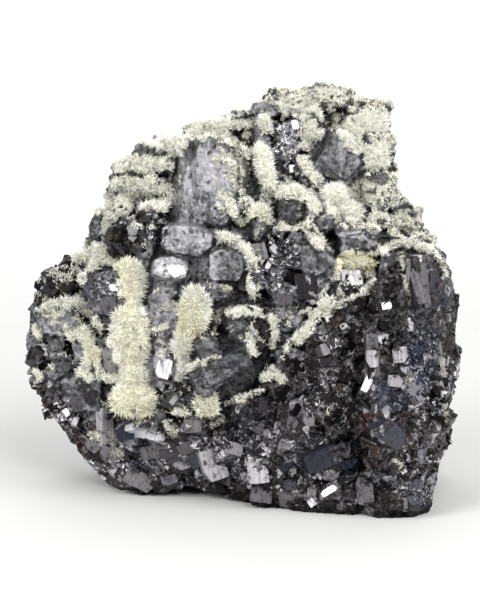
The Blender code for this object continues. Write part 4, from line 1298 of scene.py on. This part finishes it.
class SPECIMEN_OT_cleavage(bpy.types.Operator):
    """Breaks the ore into flat grains of galena, with small chips between them"""

    bl_idname = "specimen.cleavage"
    bl_label = "Cleavage blocks"

    def execute(self, context):
        rng = np.random.default_rng(chosen().seed + 1)
        mesh, points, normals, faces = ore_surface()
        tree = surface_tree(points, faces)
        all_broken = read_attribute(mesh, "broken")
        # The large faces stay clear.
        clear = [(x, z, wide * 0.65, high * 0.65, 1) for x, z, wide, high, *_ in FACETS]
        # Name, spacing, smallest and largest side, share where the ore is flat and where it is
        # rubble, size of a grain, and how far a corner may stand out. Lengths are in millimetres.
        for name, spacing, low, high, flat, rubble, size, most in (
            ("cleavage_grains", 2.5, 2.0, 5.4, 0.65, 0.2, 8.5, 1.1),
            ("cleavage_blocks", 1.2, 0.5, 1.8, 0.08, 0.4, 3.2, 0.6),
        ):
            place, out, broken = spread(points, normals, faces, spacing, rng, all_broken)
            kept = (broken > 0.6) & (place[:, 2] > 1.5 * MM) & (spotted(place, clear) < 0.5)
            kept &= rng.random(len(place)) < flat + (rubble - flat) * rough_share(place)
            place, out = place[kept], out[kept]
            number, _ = grains(place, size, 42)
            turns = grain_turns(number, out, 24)
            sides = rng.uniform(low, high, (len(place), 3)) * MM
            proud = rng.uniform(0.05, 0.2 + 0.1 * high, len(place)) * MM
            middles = sunk(place, out, turns, sides, proud)
            kept = furthest_out(tree, boxes(middles, turns, sides)[0], out) < most
            middles, turns, sides, place, number = (
                values[kept] for values in (middles, turns, sides, place, number))
            # Those of one grain break alike, so they are painted about as bright as each other: a
            # painted reflection that they share.
            tint_and_painted_reflection = smooth(0.6 * chance(number, 13) + 0.4 * rng.random(len(place)), 0.3, 0.92)
            # The paler and darker faces of the ore, painted light and shade among them, carry over
            # to the chips.
            tint_and_painted_reflection += 0.2 * cloud(place, 5, 61) + 0.5 * spotted(place, TONE_AND_PAINTED_LIGHT)
            blue = np.clip(spotted(place, TARNISH) * 0.5 + 0.3 * cloud(place, 11, 58), 0, 0.6)
            mirrors = (rng.random(len(place)) < 0.3).astype(float)
            new_cleavage(name, middles, turns, sides, (tint_and_painted_reflection, blue, mirrors), rng)
        return {"FINISHED"}


class SPECIMEN_OT_facets(bpy.types.Operator):
    """Sets the large flat cleavage faces that catch the eye"""

    bl_idname = "specimen.facets"
    bl_label = "Large cleavage faces"

    def execute(self, context):
        rng = np.random.default_rng(chosen().seed + 5)
        _, points, _, faces = ore_surface()
        tree = surface_tree(points, faces)
        # A face half way between the view and the front lamp mirrors the lamp.
        mirror = unit(unit(np.array(FRONT_LAMP)) - np.array(SIGHT))
        seats = [seat(tree, face[:5], 2.6, 0.2, mirror if face[-1] else None) for face in FACETS]
        middles, turns, sides = (np.array(part) for part in zip(*seats))
        marks = np.array([face[5:] for face in FACETS]).T
        new_cleavage("large_cleavage_faces", middles, turns, sides, marks, rng)
        return {"FINISHED"}


class SPECIMEN_OT_sphalerite(bpy.types.Operator):
    """Makes the clusters of black sphalerite crystals"""

    bl_idname = "specimen.sphalerite"
    bl_label = "Sphalerite clusters"

    def execute(self, context):
        rng = np.random.default_rng(chosen().seed + 2)
        material = sphalerite_material()
        for node in sorted(n for n in frame["nodes"] if n.startswith("sphalerite")):
            blocks = self.crystals(*spread(*fine_surface(node), 2.1, rng), rng)
            mesh = new_mesh(node, [solid_of(node), blocks])
            new_object(f"{node}_crystals", mesh, material, "sphalerite", node)
        _, points, normals, faces = ore_surface()
        place, out, share = spread(points, normals, faces, 1.7, rng, spotted(points, BLACK))
        kept = share > 0.5
        mesh = new_mesh("loose", [self.crystals(place[kept], out[kept], rng)])
        new_object("sphalerite_on_ore_crystals", mesh, material, "sphalerite")
        return {"FINISHED"}

    def crystals(self, place, out, rng):
        """Crystals turned at random that stick out of a surface at these places."""
        size = rng.uniform(1.4, 3.6, len(place)) * MM
        turns = np.linalg.qr(rng.normal(size=(len(place), 3, 3)))[0]
        turns *= np.sign(np.linalg.det(turns))[:, None, None]
        sides = size[:, None] * rng.uniform(0.75, 1.1, (len(place), 3))
        return chips(place - out * size[:, None] * 0.4, turns, sides, rng)


def new_druse(name, chunks, core, ends, *replaced):
    """A piece of druse, from painted shade at 0 to bright at 1. Its last chunk is needles, whose
    roots and tips are the two ends, and core is for the points before them."""
    mesh = new_mesh(name, chunks)
    base, tip = ends
    needles = np.tile((base, base, base, tip), len(chunks[-1][0]) // 4)
    write_attribute(mesh, "along", np.concatenate([core, needles]))
    write_attribute(mesh, "yellow", spotted(read(mesh)[0], YELLOW))
    material = shared_material("druse, milky needles", druse_material)
    new_object(name, mesh, material, "druse", *replaced)


class SPECIMEN_OT_druse(bpy.types.Operator):
    """Makes the crusts of cream needles in place of their plain solids"""

    bl_idname = "specimen.druse"
    bl_label = "Druse crusts"

    def execute(self, context):
        s = chosen()
        rng = np.random.default_rng(s.seed + 3)
        for node in sorted(n for n in frame["nodes"] if n.startswith("druse")):
            speckled = node in SPECKLED
            points, normals, faces = fine_surface(node)
            # Tufts of needles with gaps between them.
            tufts = cloud(points, 0.9 if speckled else 1.7, 71) + 0.6 * cloud(points, 3.0, 72)
            tufts -= SPECKLED.get(node, THICK_FUR) + spotted(points, HOLES)
            gap = 1 - smooth(tufts, -0.6, -0.2)
            length = s.needle_length * (0.7 if speckled else 1.0)
            uneven = 1 + 0.3 * cloud(points, 2.2, 73) + 0.35 * cloud(points, 0.9, 74)
            depth = 0.7 * length * uneven + gap * 0.7 * MM
            core = points - normals * depth[:, None]
            place, out, bare = spread(core, normals, faces, s.needle_spacing / MM, rng, gap)
            kept = rng.random(len(place)) > bare * 0.9
            place, out = place[kept], out[kept]
            ways = unit(out + GROWTH * 0.3 + rng.normal(size=out.shape) * 0.42)
            lengths = length * rng.uniform(0.5, 1.4, len(place))
            widths = s.needle_width * rng.uniform(0.75, 1.25, len(place))
            grown = spikes(place - ways * 0.15 * MM, ways, lengths, widths)
            # The roots, and the core in the gaps, are painted darker as shade among the needles.
            base = 0.16 if speckled else 0.24
            chunks = [(core, faces), grown]
            new_druse(f"{node}_needles", chunks, base * (1 - gap), (base, 1.0), node)
        return {"FINISHED"}


class SPECIMEN_OT_dusting(bpy.types.Operator):
    """Scatters short needles over the crystal faces that druse grew on"""

    bl_idname = "specimen.dusting"
    bl_label = "Scattered needles"

    def execute(self, context):
        s = chosen()
        rng = np.random.default_rng(s.seed + 4)
        mesh, points, normals, faces = ore_surface()
        share = read_attribute(mesh, "crust") * (1 - 0.7 * read_attribute(mesh, "painted_shade"))
        place, out, share = spread(points, normals, faces, 0.3, rng, share)
        clumps = 0.5 + 0.6 * cloud(place, 1.1, 36) + 0.35 * cloud(place, 2.6, 37)
        kept = rng.random(len(place)) < share * np.maximum(clumps, fringed(place))
        places, outs = [place[kept]], [out[kept]]
        clusters = [
            o.data for o in bpy.data.objects
            if o.name.startswith("sphalerite") and o.name.endswith("crystals")]
        for cluster in clusters:
            place, out = spread(*read(cluster), 0.33, rng)
            high = out @ GROWTH + 0.9 * cloud(place, 2.6, 34)
            kept = rng.random(len(place)) < smooth(high, 0.85, 1.1)
            places.append(place[kept])
            outs.append(out[kept])
        place, out = np.concatenate(places), np.concatenate(outs)
        ways = unit(out * 0.9 + GROWTH * 0.45 + rng.normal(size=out.shape) * 0.35)
        lengths = s.needle_length * rng.uniform(0.45, 1.05, len(place))
        lengths = lengths * (0.6 + 0.4 * fringed(place))
        widths = s.needle_width * rng.uniform(0.75, 1.2, len(place))
        grown = spikes(place - ways * 0.1 * MM, ways, lengths, widths)
        # Their roots are painted darker, as shade.
        new_druse("scattered_needles", [grown], (), (0.3, 1.0))
        return {"FINISHED"}


class SPECIMEN_OT_stage(bpy.types.Operator):
    """Makes the floor, the lights and the camera"""

    bl_idname = "specimen.stage"
    bl_label = "Stage"

    def execute(self, context):
        scene = context.scene
        scene.view_settings.view_transform = "Standard"
        self.floor(scene)
        self.room(scene)
        self.lamps(scene)
        self.camera(scene)
        return {"FINISHED"}

    def floor(self, scene):
        """A white floor. Far from the specimen it turns into a lit backdrop, so a low view sees no
        dark horizon."""
        material, tree, shader, where = new_material("floor, white card")
        shader.inputs["Base Color"].default_value = linear("#b6b6b5")
        shader.inputs["Roughness"].default_value = 0.75
        far = add(tree, "VectorMath", {0: where}, operation="LENGTH")["Value"]
        far = add(tree, "MapRange", {0: far, 1: 0.2, 2: 1.0, 4: 0.85})[0]
        shader.inputs["Emission Color"].default_value = linear("#fafafb")
        tree.links.new(far, shader.inputs["Emission Strength"])
        corners = FLOOR * np.array([(-1, -1, 0), (1, -1, 0), (1, 1, 0), (-1, 1, 0)])
        mesh = new_mesh("floor", [(corners, np.array([(0, 1, 2, 3)]))])
        mesh.materials.append(material)
        floor = bpy.data.objects.new("floor", mesh)
        scene.collection.objects.link(floor)

    def room(self, scene):
        """The room behind the floor, which looks white but lights the specimen little."""
        world = bpy.data.worlds.new("studio")
        world.use_nodes = True
        tree = world.node_tree
        background = tree.nodes["Background"]
        background.inputs["Color"].default_value = linear("#f4f4f6")
        seen = add(tree, "LightPath")["Is Camera Ray"]
        strength = add(tree, "MapRange", {0: seen, 3: 0.2, 4: 1.1})[0]
        tree.links.new(strength, background.inputs["Strength"])
        scene.world = world

    def lamps(self, scene):
        """Softboxes: each one's place and size in metres, and its power in watts. All but the one
        over the backdrop, which points down, aim at the middle of the specimen."""
        middle = Vector((0, 0, 0.05))
        for name, place, size, power in (
            ("top softbox", (0.1, 0.0, 1.6), 1.6, 13.0),
            ("left softbox", (-0.9, -0.7, 0.7), 0.7, 19.0),
            ("right softbox", (0.9, -0.5, 0.5), 0.6, 13.0),
            ("front softbox", FRONT_LAMP, 0.6, 18.0),
            ("backdrop softbox", (0.0, 1.6, 1.4), 2.0, 30.0),
        ):
            lamp = bpy.data.lights.new(name, "AREA")
            lamp.size = size
            lamp.energy = power
            obj = bpy.data.objects.new(name, lamp)
            obj.location = place
            back = Vector((0, 0, 1)) if name == "backdrop softbox" else Vector(place) - middle
            obj.rotation_euler = back.to_track_quat("Z", "Y").to_euler()
            scene.collection.objects.link(obj)

    def camera(self, scene):
        """The camera, which looks along the front view's line of sight."""
        data = bpy.data.cameras.new("camera")
        data.lens = data.sensor_width * CAMERA_OFF / CAMERA_SEES
        camera = bpy.data.objects.new("camera", data)
        camera.location = Vector(CAMERA_AIM) - SIGHT * CAMERA_OFF
        camera.rotation_euler = (-SIGHT).to_track_quat("Z", "Y").to_euler()
        scene.collection.objects.link(camera)
        scene.camera = camera


OPERATORS = (
    SPECIMEN_OT_ore,
    SPECIMEN_OT_cleavage,
    SPECIMEN_OT_facets,
    SPECIMEN_OT_sphalerite,
    SPECIMEN_OT_druse,
    SPECIMEN_OT_dusting,
    SPECIMEN_OT_stage,
)


class SPECIMEN_PT_panel(bpy.types.Panel):
    """The specimen's settings and the operators that make it"""

    bl_label = "Specimen"
    bl_space_type = "VIEW_3D"
    bl_region_type = "UI"
    bl_category = "Specimen"

    def draw(self, context):
        for name in SpecimenSettings.__annotations__:
            self.layout.prop(context.scene.specimen, name)
        for operator in OPERATORS:
            self.layout.operator(operator.bl_idname)


def register():
    for cls in (SpecimenSettings, *OPERATORS, SPECIMEN_PT_panel):
        bpy.utils.register_class(cls)
    bpy.types.Scene.specimen = bpy.props.PointerProperty(type=SpecimenSettings)


def unregister():
    del bpy.types.Scene.specimen
    for cls in reversed((SpecimenSettings, *OPERATORS, SPECIMEN_PT_panel)):
        bpy.utils.unregister_class(cls)


def main():
    register()
    bpy.ops.specimen.ore()
    bpy.ops.specimen.cleavage()
    bpy.ops.specimen.facets()
    bpy.ops.specimen.sphalerite()
    bpy.ops.specimen.druse()
    bpy.ops.specimen.dusting()
    bpy.ops.specimen.stage()


if __name__ == "__main__":
    main()
